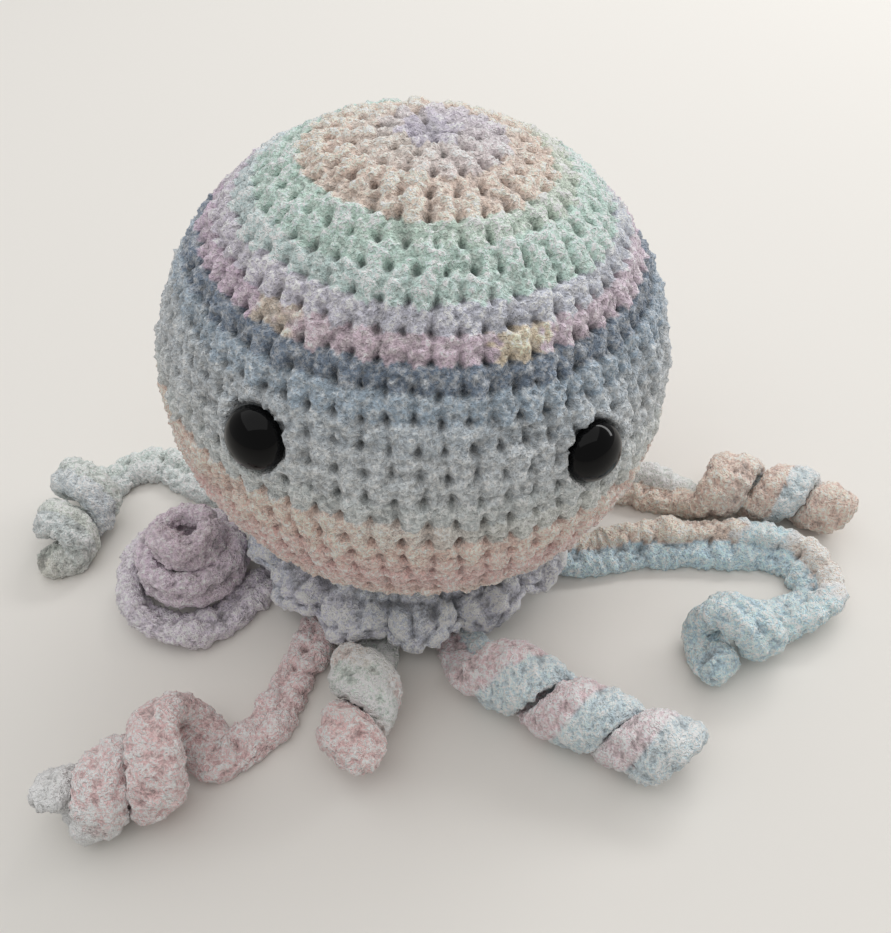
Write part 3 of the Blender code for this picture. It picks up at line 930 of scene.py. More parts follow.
@dataclass(frozen=True)
class Pile:
    """The yarn's velvet pile: tufts of two sizes and single fibre ends, as heights in millimetres."""

    tuft: float = 0.35
    tuft_size: float = 3.2
    small_tuft: float = 0.85
    small_tuft_size: float = 1.5
    small_tuft_shift: float = 31.0
    fibre: float = 0.14
    seed: int = 7
    # How much more the pile's height counts than the stitch's in the painted shade of the creases
    shade: float = 1.9

    def heights(self, points: np.ndarray) -> np.ndarray:
        """How far the pile stands out at each vertex.

        Args:
            points: one row for each vertex, in millimetres.

        Returns:
            One height for each vertex.
        """
        random = np.random.default_rng(self.seed)
        height = tuft_noise(points, self.tuft_size) * self.tuft
        height += tuft_noise(points + self.small_tuft_shift, self.small_tuft_size) * self.small_tuft
        return height + random.normal(0.0, self.fibre, len(points))


BELL_PILE = Pile()
STRAP_PILE = Pile(tuft=0.8, tuft_size=3.6, small_tuft=0.75)


def raise_yarn(
    piece: bpy.types.Object, base: np.ndarray, relief: np.ndarray, full: float, sink: float, pile: Pile
) -> tuple[np.ndarray, np.ndarray]:
    """Stands stitches and pile up from a plain surface.

    Args:
        piece: the mesh object.
        base: its vertices on the plain surface, in millimetres.
        relief: height of the stitches at each vertex.
        full: the height of a whole stitch.
        sink: how far the foot of the stitches lies under the plain surface.
        pile: the yarn's pile.

    Returns:
        The new vertices, and how high each lies from 0 to 1, which sets the painted shade in the creases.
    """
    write_points(piece, base)
    face_outwards(piece)
    fuzz = pile.heights(base)
    points = base + read_normals(piece) * (relief - sink + fuzz)[:, None]
    # The height from 0 to 1 sets the painted shade in the creases
    return points, np.clip((relief + fuzz * pile.shade) / full, 0.0, 1.0)


@dataclass
class Bell:
    """The stuffed body: a ball worked in rounds from the crown, that leans a little and sags at its foot.

    Lengths are in millimetres and angles in degrees, apart from drift, the radians by which each round's
    stitches move on. Each eye is a latitude and a longitude, and each filling lump a size and a height.
    """

    radius: float = 68.0
    half_height: float = 64.0
    centre_height: float = 74.0
    lean_right: float = 8.0
    lean_back: float = 2.0
    sag: float = 6.0
    sag_start: float = -52.0
    sag_end: float = -84.0
    foot_press: float = 0.2
    profile_points: int = 721
    stitches_added: int = 6
    most_stitches: int = 66
    drift: float = 0.11
    level: int = 8
    stitch: Stitch = ROUND_STITCH
    stitch_height: float = 2.9
    stitch_sink: float = 2.0
    eyes: tuple[tuple[float, float], ...] = ((14.7, -37.9), (12.9, 32.1))
    seat_radius: float = 7.9
    seat_depth: float = 2.0
    seat_puff: float = 0.9
    seat_puff_out: float = 1.6
    seat_puff_width: float = 1.3
    yarn: ChenilleYarn = BELL_YARN
    dye_patch: float = 9.0
    dye_patch_shift: float = 0.37
    dye_patch_stray: float = 0.02
    dye_edge_size: float = 2.2
    dye_edge_stray: float = 0.012
    skin: float = 5.5
    filling_level: int = 6
    filling_gap: float = 2.2
    filling_rise: float = 1.0
    filling_lumps: tuple[tuple[float, float], ...] = ((7.0, 1.2), (2.6, 0.5))

    def axes(self) -> tuple[np.ndarray, np.ndarray, np.ndarray]:
        """The bell's own directions.

        Returns:
            Front, right and up.
        """
        right = math.radians(self.lean_right)
        back = math.radians(self.lean_back)
        up = Vector((math.sin(right) * math.cos(back), math.sin(back), math.cos(right) * math.cos(back)))
        front = (Vector((0, -1, 0)) + up * up.y).normalized()
        side = front.cross(up) * -1.0
        return np.array(front), np.array(side), np.array(up)

    def half_at(self, latitude: np.ndarray) -> np.ndarray:
        """Half height at a latitude in degrees, with the sag of the foot."""
        share = (self.sag_start - latitude) / (self.sag_start - self.sag_end)
        return self.half_height + self.sag * smoothstep(share)

    def surface(
        self, latitude: np.ndarray, longitude: np.ndarray, offset: np.ndarray | float
    ) -> np.ndarray:
        """Points at a distance outside the mean surface.

        Args:
            latitude: degrees up from the widest round.
            longitude: degrees to the right of the front.
            offset: distance outwards.

        Returns:
            One row for each point.
        """
        front, side, up = self.axes()
        phi = np.radians(latitude)[:, None]
        theta = np.radians(longitude)[:, None]
        half = self.half_at(np.asarray(latitude))[:, None]
        outward = front * np.cos(theta) + side * np.sin(theta)
        normal = unit_rows(outward * (np.cos(phi) / self.radius) + up * (np.sin(phi) / half))
        centre = np.array([0.0, 0.0, self.centre_height])
        points = centre + outward * (self.radius * np.cos(phi)) + up * (half * np.sin(phi))
        return points + normal * (np.zeros(len(points)) + offset)[:, None]

    def underside(self, x: float, y: float) -> float:
        """Finds the mean surface above a place on the floor by halving.

        Args:
            x: the place, to the right.
            y: the place, to the back.

        Returns:
            Its height, which is never under the top of a strap.
        """
        up = self.axes()[2]
        low = 0.0
        high = self.centre_height
        while high - low > HALVING_END:
            middle = (low + high) / 2
            local = np.array([x, y, middle - self.centre_height])
            rise = float(local @ up)
            out = float(np.linalg.norm(local - up * rise)) / self.radius
            half = float(self.half_at(math.degrees(math.atan2(rise / self.half_height, out))))
            if out**2 + (rise / half) ** 2 < 1.0:
                high = middle
            else:
                low = middle
        return max(high, STRAP_TOP + FIT_GAP)

    def rounds_worked(self, latitude: np.ndarray) -> tuple[np.ndarray, int]:
        """Counts the rounds from the crown down the bell's profile.

        Args:
            latitude: degrees up from the widest round.

        Returns:
            How many rounds have been worked at each latitude, and the number of rounds in all.
        """
        steps = np.linspace(90.0, -90.0, self.profile_points)
        out = self.radius * np.cos(np.radians(steps))
        rise = self.half_at(steps) * np.sin(np.radians(steps))
        lengths = path_lengths(np.stack([out, rise], axis=1))
        rounds = round(lengths[-1] / self.stitch.row_height)
        return np.interp(-latitude, -steps, lengths) / lengths[-1] * rounds, rounds

    def press_seats(self, points: np.ndarray) -> np.ndarray:
        """Presses the yarn in under each eye, and puffs it up round the rim.

        Args:
            points: the skin's vertices.

        Returns:
            The vertices with both seats pressed.
        """
        for latitude, longitude in self.eyes:
            place = eye_place(self, latitude, longitude, 0.0)
            local = (points - np.array(place.translation)) @ np.array(place.to_3x3())
            away = np.hypot(local[:, 0], local[:, 1])
            outside = local[:, 2] > -self.radius / 2
            under = outside & (away < self.seat_radius)
            lowered = np.minimum(local[:, 2], -self.seat_depth)
            shift = np.where(under, lowered - local[:, 2], 0.0)
            past_rim = (away - self.seat_radius - self.seat_puff_out) / self.seat_puff_width
            shift += np.where(outside & ~under, np.exp(-(past_rim**2)) * self.seat_puff, 0.0)
            points = points + np.array(place.to_3x3())[:, 2] * shift[:, None]
        return points

    def build(self) -> bpy.types.Object:
        """Models the crocheted skin and dresses it.

        Returns:
            The skin.
        """
        deselect()
        bpy.ops.mesh.primitive_ico_sphere_add(subdivisions=self.level)
        piece = named("bell_crochet")
        latitude, longitude = globe_angles(unit_rows(read_points(piece)))
        worked, rounds = self.rounds_worked(latitude)
        angle = np.radians(longitude) % math.tau

        def columns(number: np.ndarray) -> tuple[np.ndarray, np.ndarray]:
            """Each vertex's place along its round, in stitches, and how many stitches the round has."""
            order = np.clip(number + 1, 1, rounds)
            growing = self.stitches_added * order
            closing = self.stitches_added * (rounds + 1 - order)
            count = np.minimum(np.minimum(growing, closing), self.most_stitches)
            return (angle - self.drift * (number + 1)) / math.tau * count, count

        row_length = math.tau * self.radius * np.cos(np.radians(latitude))
        relief, number = self.stitch.relief(worked, row_length, columns)
        base = self.surface(latitude, longitude, 0.0)
        points, height = raise_yarn(piece, base, relief, self.stitch_height, self.stitch_sink, BELL_PILE)
        points = self.press_seats(points)
        points[:, 2] = np.maximum(points[:, 2], STRAP_TOP - self.foot_press)
        patch = np.floor((longitude + 180.0) / self.dye_patch + number * self.dye_patch_shift)
        stray = (scatter(number, patch, DYE_SEED) - 0.5) * self.dye_patch_stray
        stray += tuft_noise(base, self.dye_edge_size) * self.dye_edge_stray
        run = (number + 0.5 - longitude / 360.0 + stray) / rounds
        dye_yarn(piece, points, self.yarn.colours(run), height)
        settle(piece, self.yarn.material(), ("bell_skin",))
        return piece

    def build_filling(self) -> bpy.types.Object:
        """Models the tangled stuffing inside the skin.

        Returns:
            The stuffing.
        """
        deselect()
        bpy.ops.mesh.primitive_ico_sphere_add(subdivisions=self.filling_level)
        piece = named("stuffing_fibre")
        unit = unit_rows(read_points(piece))
        points = self.surface(*globe_angles(unit), -self.skin - self.filling_gap)
        lumps = sum(tuft_noise(points, size) * height for size, height in self.filling_lumps)
        points += unit * lumps[:, None]
        points[:, 2] = np.maximum(points[:, 2], STRAP_TOP + self.skin + self.filling_rise)
        write_points(piece, points)
        face_outwards(piece)
        settle(piece, FillingFibre().material(), ("filling",))
        return piece


def eye_place(bell: Bell, latitude: float, longitude: float, sink: float) -> Matrix:
    """The frame of an eye: its back at the origin and +Z outwards.

    Args:
        bell: the body that carries it.
        latitude: degrees up from the widest round.
        longitude: degrees to the right of the front.
        sink: how far its back lies under the mean surface.

    Returns:
        The place as a 4x4 matrix.
    """
    latitudes = np.array([latitude, latitude])
    longitudes = np.array([longitude, longitude])
    inner, outer = bell.surface(latitudes, longitudes, np.array([0.0, 1.0]))
    normal = Vector(outer - inner).normalized()
    seat = Vector(inner) - normal * sink
    return Matrix.Translation(seat) @ normal.to_track_quat("Z", "Y").to_matrix().to_4x4()


@dataclass
class SafetyEye:
    """A domed safety eye: dome, thin flange and shank moulded in one. Lengths are in millimetres."""

    side: Side
    latitude: float
    longitude: float
    radius: float = 7.5
    height: float = 6.4
    rim: float = 0.8
    rim_corner: float = 0.18
    corner_angle: float = 40.0
    sink: float = 0.9
    shank_radius: float = 2.0
    shank_length: float = 12.5

    def build(self, bell: Bell, finish: bpy.types.Material) -> bpy.types.Object:
        """Models the eye and sets it in the bell.

        Args:
            bell: the body that carries it.
            finish: the plastic.

        Returns:
            The eye.
        """
        deselect()
        bpy.ops.mesh.primitive_uv_sphere_add(segments=64, ring_count=48, radius=self.radius)
        piece = named(f"eye_dome_{self.side.value}")
        bpy.ops.object.mode_set(mode="EDIT")
        bpy.ops.mesh.select_all(action="SELECT")
        bpy.ops.mesh.bisect(plane_co=(0, 0, 0), plane_no=(0, 0, 1), clear_inner=True, use_fill=True)
        bpy.ops.mesh.extrude_region_move(TRANSFORM_OT_translate={"value": (0, 0, -self.rim)})
        bpy.ops.mesh.inset(thickness=self.radius - self.shank_radius)
        bpy.ops.mesh.extrude_region_move(TRANSFORM_OT_translate={"value": (0, 0, -self.shank_length)})
        bpy.ops.object.mode_set(mode="OBJECT")
        points = read_points(piece)
        dome = points[:, 2] > 0.0
        points[dome, 2] *= (self.height - self.rim) / self.radius
        points[:, 2] += self.rim
        piece.data.vertices.foreach_set("co", points.ravel())
        piece.data.update()
        corner = piece.modifiers.new("flange_corner", "BEVEL")
        corner.width = self.rim_corner
        corner.segments = 3
        corner.limit_method = "ANGLE"
        bpy.ops.object.modifier_apply(modifier=corner.name)
        foot = Matrix.Translation((*BELL_FOOT, 0.0))
        place = eye_place(bell, self.latitude, self.longitude, self.sink)
        piece.data.transform(Matrix.Scale(MM, 4) @ foot @ place)
        bpy.ops.object.shade_smooth_by_angle(angle=math.radians(self.corner_angle))
        settle(piece, finish, (f"eye_{self.side.value}",))
        return piece


@dataclass
class Ruffle:
    """The gathered frill round the foot of the bell, worked as a run of scallops.

    Each scallop is a broad lobe with a small puff for each stitch. Lengths are in millimetres, inner_end
    is a share of the width, and the powers are under 1 to fill the humps out.
    """

    latitude: float = -57.0
    width: float = 16.5
    thickness: float = 4.4
    lift: float = 1.6
    wave: float = 3.6
    swing: float = 2.52
    inner_end: float = -0.06
    section_power: float = 0.8
    scallops: int = 14
    notch: float = 5.0
    lobe_puff: float = 2.4
    lobe_power: float = 0.7
    stitches_per_scallop: int = 3
    stitch_puff: float = 0.9
    stitch_reach: float = 0.8
    stitch_power: float = 0.6
    thinning: float = 0.6
    rows: int = 6
    fullness: float = 0.62
    stitch: Stitch = FRILL_STITCH
    stitch_height: float = 2.1
    stitch_sink: float = 1.5
    mesh_steps: int = 600
    coarse_steps: int = 300
    section_share: int = 9
    yarn: ChenilleYarn = RUFFLE_YARN
    dye_row_shift: float = 0.02
    dye_rows: float = 4.0
    dye_patch_size: float = 4.0
    dye_stray: float = 0.05

    def shape(self, bell: Bell, angle: np.ndarray, turn: np.ndarray) -> tuple[np.ndarray, np.ndarray]:
        """The frill's plain surface, before its stitches.

        Args:
            bell: the body that carries it.
            angle: where each vertex lies round the bell, in radians from the front.
            turn: where it lies round the frill's section, in radians from the outer edge.

        Returns:
            One row for each vertex, and the point in the bell that the frill runs round.
        """
        stand_off = FIT_GAP + self.thickness / 4
        inner = bell.surface(np.full_like(angle, self.latitude), np.degrees(angle), stand_off)
        up = bell.axes()[2]
        centre = np.array([0.0, 0.0, bell.centre_height])
        middle = centre + up * float((inner[0] - centre) @ up)
        outward = unit_rows((inner - middle) * np.array([1.0, 1.0, 0.0]))
        share = between((self.inner_end, 1.0), (1.0 + np.cos(turn)) / 2)
        out = np.clip(share, 0.0, 1.0)
        lobes = humps(angle, self.scallops, self.lobe_power)
        puffs = humps(angle, self.scallops * self.stitches_per_scallop, self.stitch_power)
        reach = self.width - self.notch * (1.0 - lobes) + self.stitch_reach * puffs
        edge_height = STRAP_TOP + self.lift + self.wave + self.thickness / 2
        rise = inner[:, 2] + (edge_height - inner[:, 2]) * smoothstep(share)
        rise += self.swing * np.sin(angle * self.scallops) * out**2
        plump = self.lobe_puff * lobes + self.stitch_puff * puffs - self.thinning
        half = self.thickness / 2 + plump * out
        base = inner + outward * (reach * share)[:, None]
        base[:, 2] = rise + boxier(np.sin(turn), self.section_power) * half
        return base, middle

    def build(self, bell: Bell) -> bpy.types.Object:
        """Models the frill and dresses it.

        Args:
            bell: the body that carries it.

        Returns:
            The frill.
        """
        deselect()
        around = self.mesh_steps
        bpy.ops.mesh.primitive_torus_add(
            major_segments=around,
            minor_segments=around // self.section_share,
            major_radius=1.0,
            minor_radius=0.25,
        )
        piece = named("ruffle_crochet")
        ring = read_points(piece)
        angle = np.arctan2(ring[:, 0], -ring[:, 1]) % math.tau
        turn = np.arctan2(ring[:, 2], np.hypot(ring[:, 0], ring[:, 1]) - 1.0)
        base, middle = self.shape(bell, angle, turn)
        row = np.mod(turn / math.tau * self.rows + 0.5, self.rows)
        count = self.scallops * self.stitches_per_scallop
        row_length = math.tau * np.hypot(base[:, 0] - middle[0], base[:, 1] - middle[1])

        def columns(number: np.ndarray) -> tuple[np.ndarray, float]:
            """Each vertex's place along its row, in stitches, and how many stitches the row has."""
            return angle / math.tau * count + 0.5 * np.mod(number, 2.0), float(count)

        relief, number = self.stitch.relief(row, row_length, columns)
        relief *= self.fullness
        points, height = raise_yarn(piece, base, relief, self.stitch_height, self.stitch_sink, STRAP_PILE)
        points[:, 2] = np.maximum(points[:, 2], STRAP_TOP)
        stray = tuft_noise(base, self.dye_patch_size) * self.dye_stray
        run = np.mod(angle / math.tau + self.dye_row_shift * np.mod(number, self.dye_rows) + stray, 1.0)
        dye_yarn(piece, points, self.yarn.colours(run), height)
        settle(piece, self.yarn.material(), ("ruffle",))
        return piece


def smooth_route(points: list[tuple[float, float, float]]) -> tuple[np.ndarray, float]:
    """Lays a smooth curve through a given route.

    Args:
        points: the route.

    Returns:
        Points every half millimetre, and the length.
    """
    route = [Vector(p) for p in points]
    ends = [route[0] * 2 - route[1], *route, route[-1] * 2 - route[-2]]
    fine = []
    for a, b, c, d in zip(ends, ends[1:], ends[2:], ends[3:]):
        for i in range(ROUTE_STEPS):
            t = i / ROUTE_STEPS
            bend = (a * 2 - b * 5 + c * 4 - d) * t**2 + (b * 3 - a - c * 3 + d) * t**3
            fine.append((b * 2 + (c - a) * t + bend) / 2)
    fine.append(route[-1])
    rows = np.array([tuple(p) for p in fine])
    lengths = path_lengths(rows)
    count = max(2, round(lengths[-1] / ROUTE_SPACING))
    return resample(np.linspace(0.0, lengths[-1], count + 1), lengths, rows), float(lengths[-1])


def directions(centres: np.ndarray) -> np.ndarray:
    """Unit directions along a row of points.

    Args:
        centres: the points.

    Returns:
        One direction for each point.
    """
    padded = np.concatenate((centres[:1], centres, centres[-1:]))
    return unit_rows(padded[2:] - padded[:-2])


def strap_up(along: np.ndarray, roll: np.ndarray) -> np.ndarray:
    """The strap's face: straight up when flat, turned about the strap by roll degrees.

    Args:
        along: unit directions along the strap.
        roll: degrees for each point.

    Returns:
        One direction for each point.
    """
    side = unit_rows(np.cross(along, np.array([0.0, 0.0, 1.0])))
    turn = np.radians(roll)[:, None]
    return np.cross(side, along) * np.cos(turn) - side * np.sin(turn)


@dataclass(frozen=True)
class StrapLine:
    """A strap's centreline, with its face and its section at each point."""

    centres: np.ndarray
    faces: np.ndarray
    widths: np.ndarray
    thicknesses: np.ndarray


@dataclass
class Tentacle:
    """A strap, two rows of stitches wide, that leaves the bell's foot and ends in a corkscrew curl.

    Lengths are in millimetres and roll in degrees. Pitches, widths and radii are the curl's, at its start
    and at its tip. face_powers, grooves and relief_kept are for the flat strap and for the curl.
    """

    name: str
    slot: str
    route: list[tuple[float, float]]
    yarn: ChenilleYarn
    curl_start: float = 0.0
    pitches: tuple[float, float] = (16.0, 14.0)
    widths: tuple[float, float] = (15.0, 13.0)
    radii: tuple[float, float] = (8.0, 6.0)
    strap_width: float = STRAP_WIDTH
    handed: int = 1
    spread: float = 1.0
    roll: float = 0.0
    roll_start: float = 40.0
    roll_blend: float = 14.0
    widen_start: float = 15.0
    widen_blend: float = 20.0
    curl_lead: float = 6.0
    curl_blend: float = 12.0
    ease: float = 5.0
    root_hold: float = 5.0
    root_blend: float = 13.0
    root_share: float = 0.62
    root_gap: float = 0.7
    root_round: float = 5.0
    tip_swell: float = 2.2
    tip_stitches: float = 3.4
    tip_blend: float = 2.0
    tip_round: float = 6.2
    side_inset: float = 0.3
    side_power: float = 0.92
    face_inset: float = 0.1
    face_powers: tuple[float, float] = (0.8, 0.96)
    grooves: tuple[float, float] = (0.3, 0.08)
    groove_width: float = 1.7
    stitch: Stitch = ROPE_STITCH
    stitch_width: float = 6.9
    stitch_height: float = 2.0
    stitch_sink: float = 1.7
    relief_kept: tuple[float, float] = (1.0, 0.4)
    girth: float = 34.0
    mesh_step: float = 0.62
    coarse_step: float = 1.2
    dye_patch_size: float = 3.0
    dye_stray: float = 0.03

    def line(self) -> StrapLine:
        """Lays the strap flat on the floor, then winds it about its own axis and swells it.

        Returns:
            The strap's line.
        """
        axis, length = smooth_route([(x, y, 0.0) for x, y in self.route])
        travelled = np.linspace(0.0, length, len(axis))
        wound = np.maximum(0.0, travelled - self.curl_start)
        share = wound / (length - self.curl_start)
        step = length / (len(axis) - 1)
        turns = np.cumsum(step * (1.0 - np.exp(-wound / self.ease)) / between(self.pitches, share))
        tilt = smoothstep((self.curl_start - travelled) / self.roll_blend)
        tilt = tilt * smoothstep((travelled - self.roll_start) / self.roll_blend) * self.roll
        face = strap_up(directions(axis), 180.0 + tilt + self.handed * 360.0 * turns)
        widened = smoothstep((travelled - self.widen_start) / self.widen_blend)
        flat = between((STRAP_WIDTH, self.strap_width), widened)
        grown = smoothstep((travelled - self.curl_start + self.curl_lead) / self.curl_blend)
        widths = flat + (between(self.widths, share) - flat) * grown
        thicknesses = between((STRAP_THICKNESS, CURL_THICKNESS), grown)
        rest = thicknesses / 2 - STRAP_SINK
        centres = axis.copy()
        centres[:, 2] = rest + (widths - thicknesses) / 2 * np.abs(np.sin(np.radians(tilt)))
        radius = between(self.radii, share)
        lifted = axis + face * (radius * np.array([[self.spread], [self.spread], [1.0]])).T
        lifted[:, 2] += radius + rest
        return StrapLine(np.where((wound > 0.0)[:, None], lifted, centres), face, widths, thicknesses)

    def lift_root(self, centres: np.ndarray, bell: Bell) -> np.ndarray:
        """Raises the first stretch so that its top follows the underside of the bell.

        Args:
            centres: the strap's centreline.
            bell: the body that carries it.

        Returns:
            The centreline with its root raised.
        """
        travelled = path_lengths(centres[:, :2])
        raised = centres.copy()
        for i in np.flatnonzero(travelled <= self.root_hold + self.root_blend):
            ahead = centres[i + 1] - centres[i]
            ahead /= np.linalg.norm(ahead)
            across = np.array([-ahead[1], ahead[0]]) * (STRAP_WIDTH / 2 * self.root_share)
            spots = (centres[i, :2] - across, centres[i, :2], centres[i, :2] + across)
            underside = min(bell.underside(*spot) for spot in spots)
            lift = max(0.0, underside - self.root_gap - STRAP_TOP)
            settled = float(smoothstep((travelled[i] - self.root_hold) / self.root_blend))
            raised[i, 2] += lift * (1.0 - settled)
        return raised

    def build(self, bell: Bell) -> bpy.types.Object:
        """Models the strap on its line and dresses it.

        Args:
            bell: the body that carries it.

        Returns:
            The tentacle.
        """
        line = self.line()
        centres = self.lift_root(line.centres, bell)
        lengths = path_lengths(centres)
        length = float(lengths[-1])
        step = self.mesh_step
        deselect()
        bpy.ops.mesh.primitive_uv_sphere_add(
            segments=round(self.girth / step), ring_count=round(length / step), radius=1.0
        )
        piece = named(f"{self.name}_crochet")
        unit = unit_rows(read_points(piece))
        distance = np.arccos(np.clip(unit[:, 2], -1.0, 1.0)) / math.pi * length
        angle = np.arctan2(unit[:, 1], unit[:, 0])
        along = unit_rows(resample(distance, lengths, directions(centres)))
        face = resample(distance, lengths, line.faces)
        face = unit_rows(face - along * np.sum(face * along, axis=1)[:, None])
        thickness = np.interp(distance, lengths, line.thicknesses)
        plump = smoothstep((thickness - STRAP_THICKNESS) / (CURL_THICKNESS - STRAP_THICKNESS))
        stitches = round(length / self.stitch_width)
        width = length / stitches
        bulb = smoothstep((self.tip_stitches - (length - distance) / width) / self.tip_blend)
        ends = np.minimum(distance / self.root_round, (length - distance) / self.tip_round)
        size = np.sqrt(np.clip(1.0 - (1.0 - np.minimum(ends, 1.0)) ** 2, 0.0, 1.0))
        half_width = np.interp(distance, lengths, line.widths) / 2 - self.side_inset
        half_depth = (thickness + self.tip_swell * bulb) / 2 - self.face_inset
        wide = boxier(np.cos(angle), self.side_power) * half_width
        thick = boxier(np.sin(angle), between(self.face_powers, plump)) * half_depth
        thick *= 1.0 - between(self.grooves, plump) * np.exp(-((wide / self.groove_width) ** 2))
        base = resample(distance, lengths, centres) + np.cross(along, face) * (wide * size)[:, None]
        base += face * (thick * size)[:, None]

        def columns(number: np.ndarray) -> tuple[np.ndarray, float]:
            """Each vertex's place along its row, in stitches, and how many stitches the row has."""
            return distance / width + 0.5 * np.mod(number, 2.0), float(stitches + 1)

        row = np.mod(angle / math.pi + 0.5, 2.0)
        relief, number = self.stitch.relief(row, width * (stitches + 1), columns)
        relief = self.stitch_sink + (relief - self.stitch_sink) * between(self.relief_kept, plump)
        points, height = raise_yarn(
            piece, base, relief * size, self.stitch_height, self.stitch_sink, STRAP_PILE
        )
        points[:, 2] = np.maximum(points[:, 2], 0.0)
        stray = tuft_noise(points, self.dye_patch_size) * self.dye_stray
        share = np.clip(distance / length + stray, 0.0, 1.0)
        out = (np.mod(number, 2.0) < 0.5)[:, None]
        colours = np.where(out, self.yarn.colours(share, Row.OUT), self.yarn.colours(share, Row.BACK))
        dye_yarn(piece, points, colours, height)
        settle(piece, self.yarn.material(), (self.name,))
        return piece


@dataclass
class StandingCoil(Tentacle):
    """A strap that circles on the floor and climbs inwards into a standing coil, like a snail's shell.

    loops gives the coil's radius after a number of turns, and the coil's middle drifts with each turn.
    """

    middle: tuple[float, float] = (-82.5, -14.0)
    drift: tuple[float, float] = (1.8, 0.2)
    start_angle: float = -25.0
    turns: float = 2.5
    steps_per_turn: int = 16
    loops: tuple[tuple[float, float], ...] = (
        (0.0, 22.5), (0.3, 19.5), (0.7, 17.2), (1.0, 14.5),
        (1.4, 11.8), (1.8, 9.2), (2.2, 7.0), (2.5, 5.6),
    )
    tip_start: float = 0.05
    tip_length: float = 0.4
    rise_start: float = 0.35
    rise_per_turn: float = 9.8

    def line(self) -> StrapLine:
        """Tips the strap up on its edge, and lets it circle inwards and climb.

        Returns:
            The strap's line.
        """
        points = [(x, y, STRAP_REST) for x, y in self.route]
        rolls = [180.0 for _ in self.route]
        steps = round(self.turns * self.steps_per_turn)
        turned, radii = zip(*self.loops)
        for i in range(steps + 1):
            q = self.turns * i / steps
            turn = math.radians(self.start_angle - 360.0 * q)
            radius = float(np.interp(q, turned, radii))
            tip_up = float(smoothstep((q - self.tip_start) / self.tip_length))
            height = STRAP_REST + (STRAP_WIDTH - STRAP_THICKNESS) / 2 * math.sin(tip_up * math.pi / 2)
            height += max(0.0, q - self.rise_start) * self.rise_per_turn
            x = self.middle[0] + self.drift[0] * q + radius * math.cos(turn)
            y = self.middle[1] + self.drift[1] * q + radius * math.sin(turn)
            points.append((x, y, height))
            rolls.append(180.0 - 90.0 * tip_up)
        centres, _ = smooth_route(points)
        knots = path_lengths(np.array(points))
        roll = np.interp(np.linspace(0.0, 1.0, len(centres)), knots / knots[-1], rolls)
        thicknesses = between((STRAP_THICKNESS, COIL_THICKNESS), (180.0 - roll) / 90.0)
        widths = np.full(len(centres), STRAP_WIDTH)
        return StrapLine(centres, strap_up(directions(centres), roll), widths, thicknesses)


def tentacles() -> list[Tentacle]:
    """Lists the eight tentacles with their routes from root to tip, in millimetres from the bell's foot.

    Returns:
        The tentacles, from the back left round the front to the back.
    """
    return [
        Tentacle(
            "tentacle_back_left",
            "yarn_back_left",
            [(-27, 11), (-50, 17), (-72, 22), (-87, 31), (-97, 38.5)]
            + [(-107, 39.5), (-114, 34), (-118.5, 24), (-123, 10), (-126.5, -4)],
            BACK_LEFT_YARN,
            curl_start=97.0,
            pitches=(17.0, 14.0),
            widths=(14.4, 12.2),
            radii=(8.2, 4.8),
            strap_width=13.4,
            spread=1.3,
            tip_swell=3.0,
        ),
        StandingCoil("tentacle_left", "yarn_left", [(-31, -3), (-43, -11), (-54, -18)], LEFT_YARN),
        Tentacle(
            "tentacle_front_left",
            "yarn_front_left",
            [(-25, -17), (-36, -31), (-42.5, -46), (-48, -57), (-53, -67), (-59, -74)]
            + [(-67, -78), (-76, -80), (-84, -83), (-96, -88), (-109, -91)],
            FRONT_LEFT_YARN,
            curl_start=76.5,
            pitches=(16.2, 14.2),
            widths=(14.8, 13.0),
            radii=(12.2, 5.0),
            strap_width=11.8,
            tip_swell=3.4,
        ),
        Tentacle(
            "tentacle_front_centre",
            "yarn_front_centre",
            [(-13, -23), (-20, -35), (-23, -46), (-24, -57), (-26, -68), (-29, -79), (-31.5, -86)],
            FRONT_CENTRE_YARN,
            curl_start=32.0,
            pitches=(18.4, 15.0),
            widths=(15.6, 14.2),
            radii=(7.6, 4.6),
            tip_swell=4.2,
        ),
        Tentacle(
            "tentacle_front_right",
            "yarn_front_right",
            [(0, -22), (1, -36), (2, -50), (8, -61), (17, -69), (26, -77)]
            + [(35, -83), (50, -93), (57, -96.5)],
            FRONT_RIGHT_YARN,
            curl_start=37.0,
            pitches=(23.5, 18.5),
            widths=(19.8, 16.8),
            radii=(6.8, 5.0),
            strap_width=14.4,
        ),
        Tentacle(
            "tentacle_right",
            "yarn_right",
            [(11, -12), (24, -17), (37, -23), (50, -24), (66, -24.5), (82, -26.5), (97, -29.5)]
            + [(108, -34.5), (112.5, -43), (110.5, -51.5), (103, -56), (93, -57.5), (84, -60)]
            + [(76, -63.5), (69, -67.5)],
            RIGHT_YARN,
            curl_start=139.5,
            pitches=(16.0, 13.8),
            widths=(13.8, 12.4),
            radii=(9.0, 4.4),
            strap_width=14.6,
            handed=-1,
            roll=-34.0,
        ),
        Tentacle(
            "tentacle_back_right",
            "yarn_back_right",
            [(13, 3), (35, 6), (52, 5.5), (66, 2), (78, -3), (88, -7), (99, -9), (110, -13), (120, -17)]
            + [(129, -22)],
            BACK_RIGHT_YARN,
            curl_start=72.0,
            pitches=(19.5, 15.5),
            widths=(15.8, 13.4),
            radii=(7.4, 4.8),
            strap_width=15.2,
            roll=-30.0,
        ),
        Tentacle(
            "tentacle_back",
            "yarn_back",
            [(-10, 20), (-7, 36), (-3, 50), (2, 62), (6, 74), (9, 88)],
            BACK_YARN,
            curl_start=40.0,
            pitches=(18.0, 15.0),
            widths=(15.4, 13.6),
            radii=(7.6, 5.8),
        ),
    ]


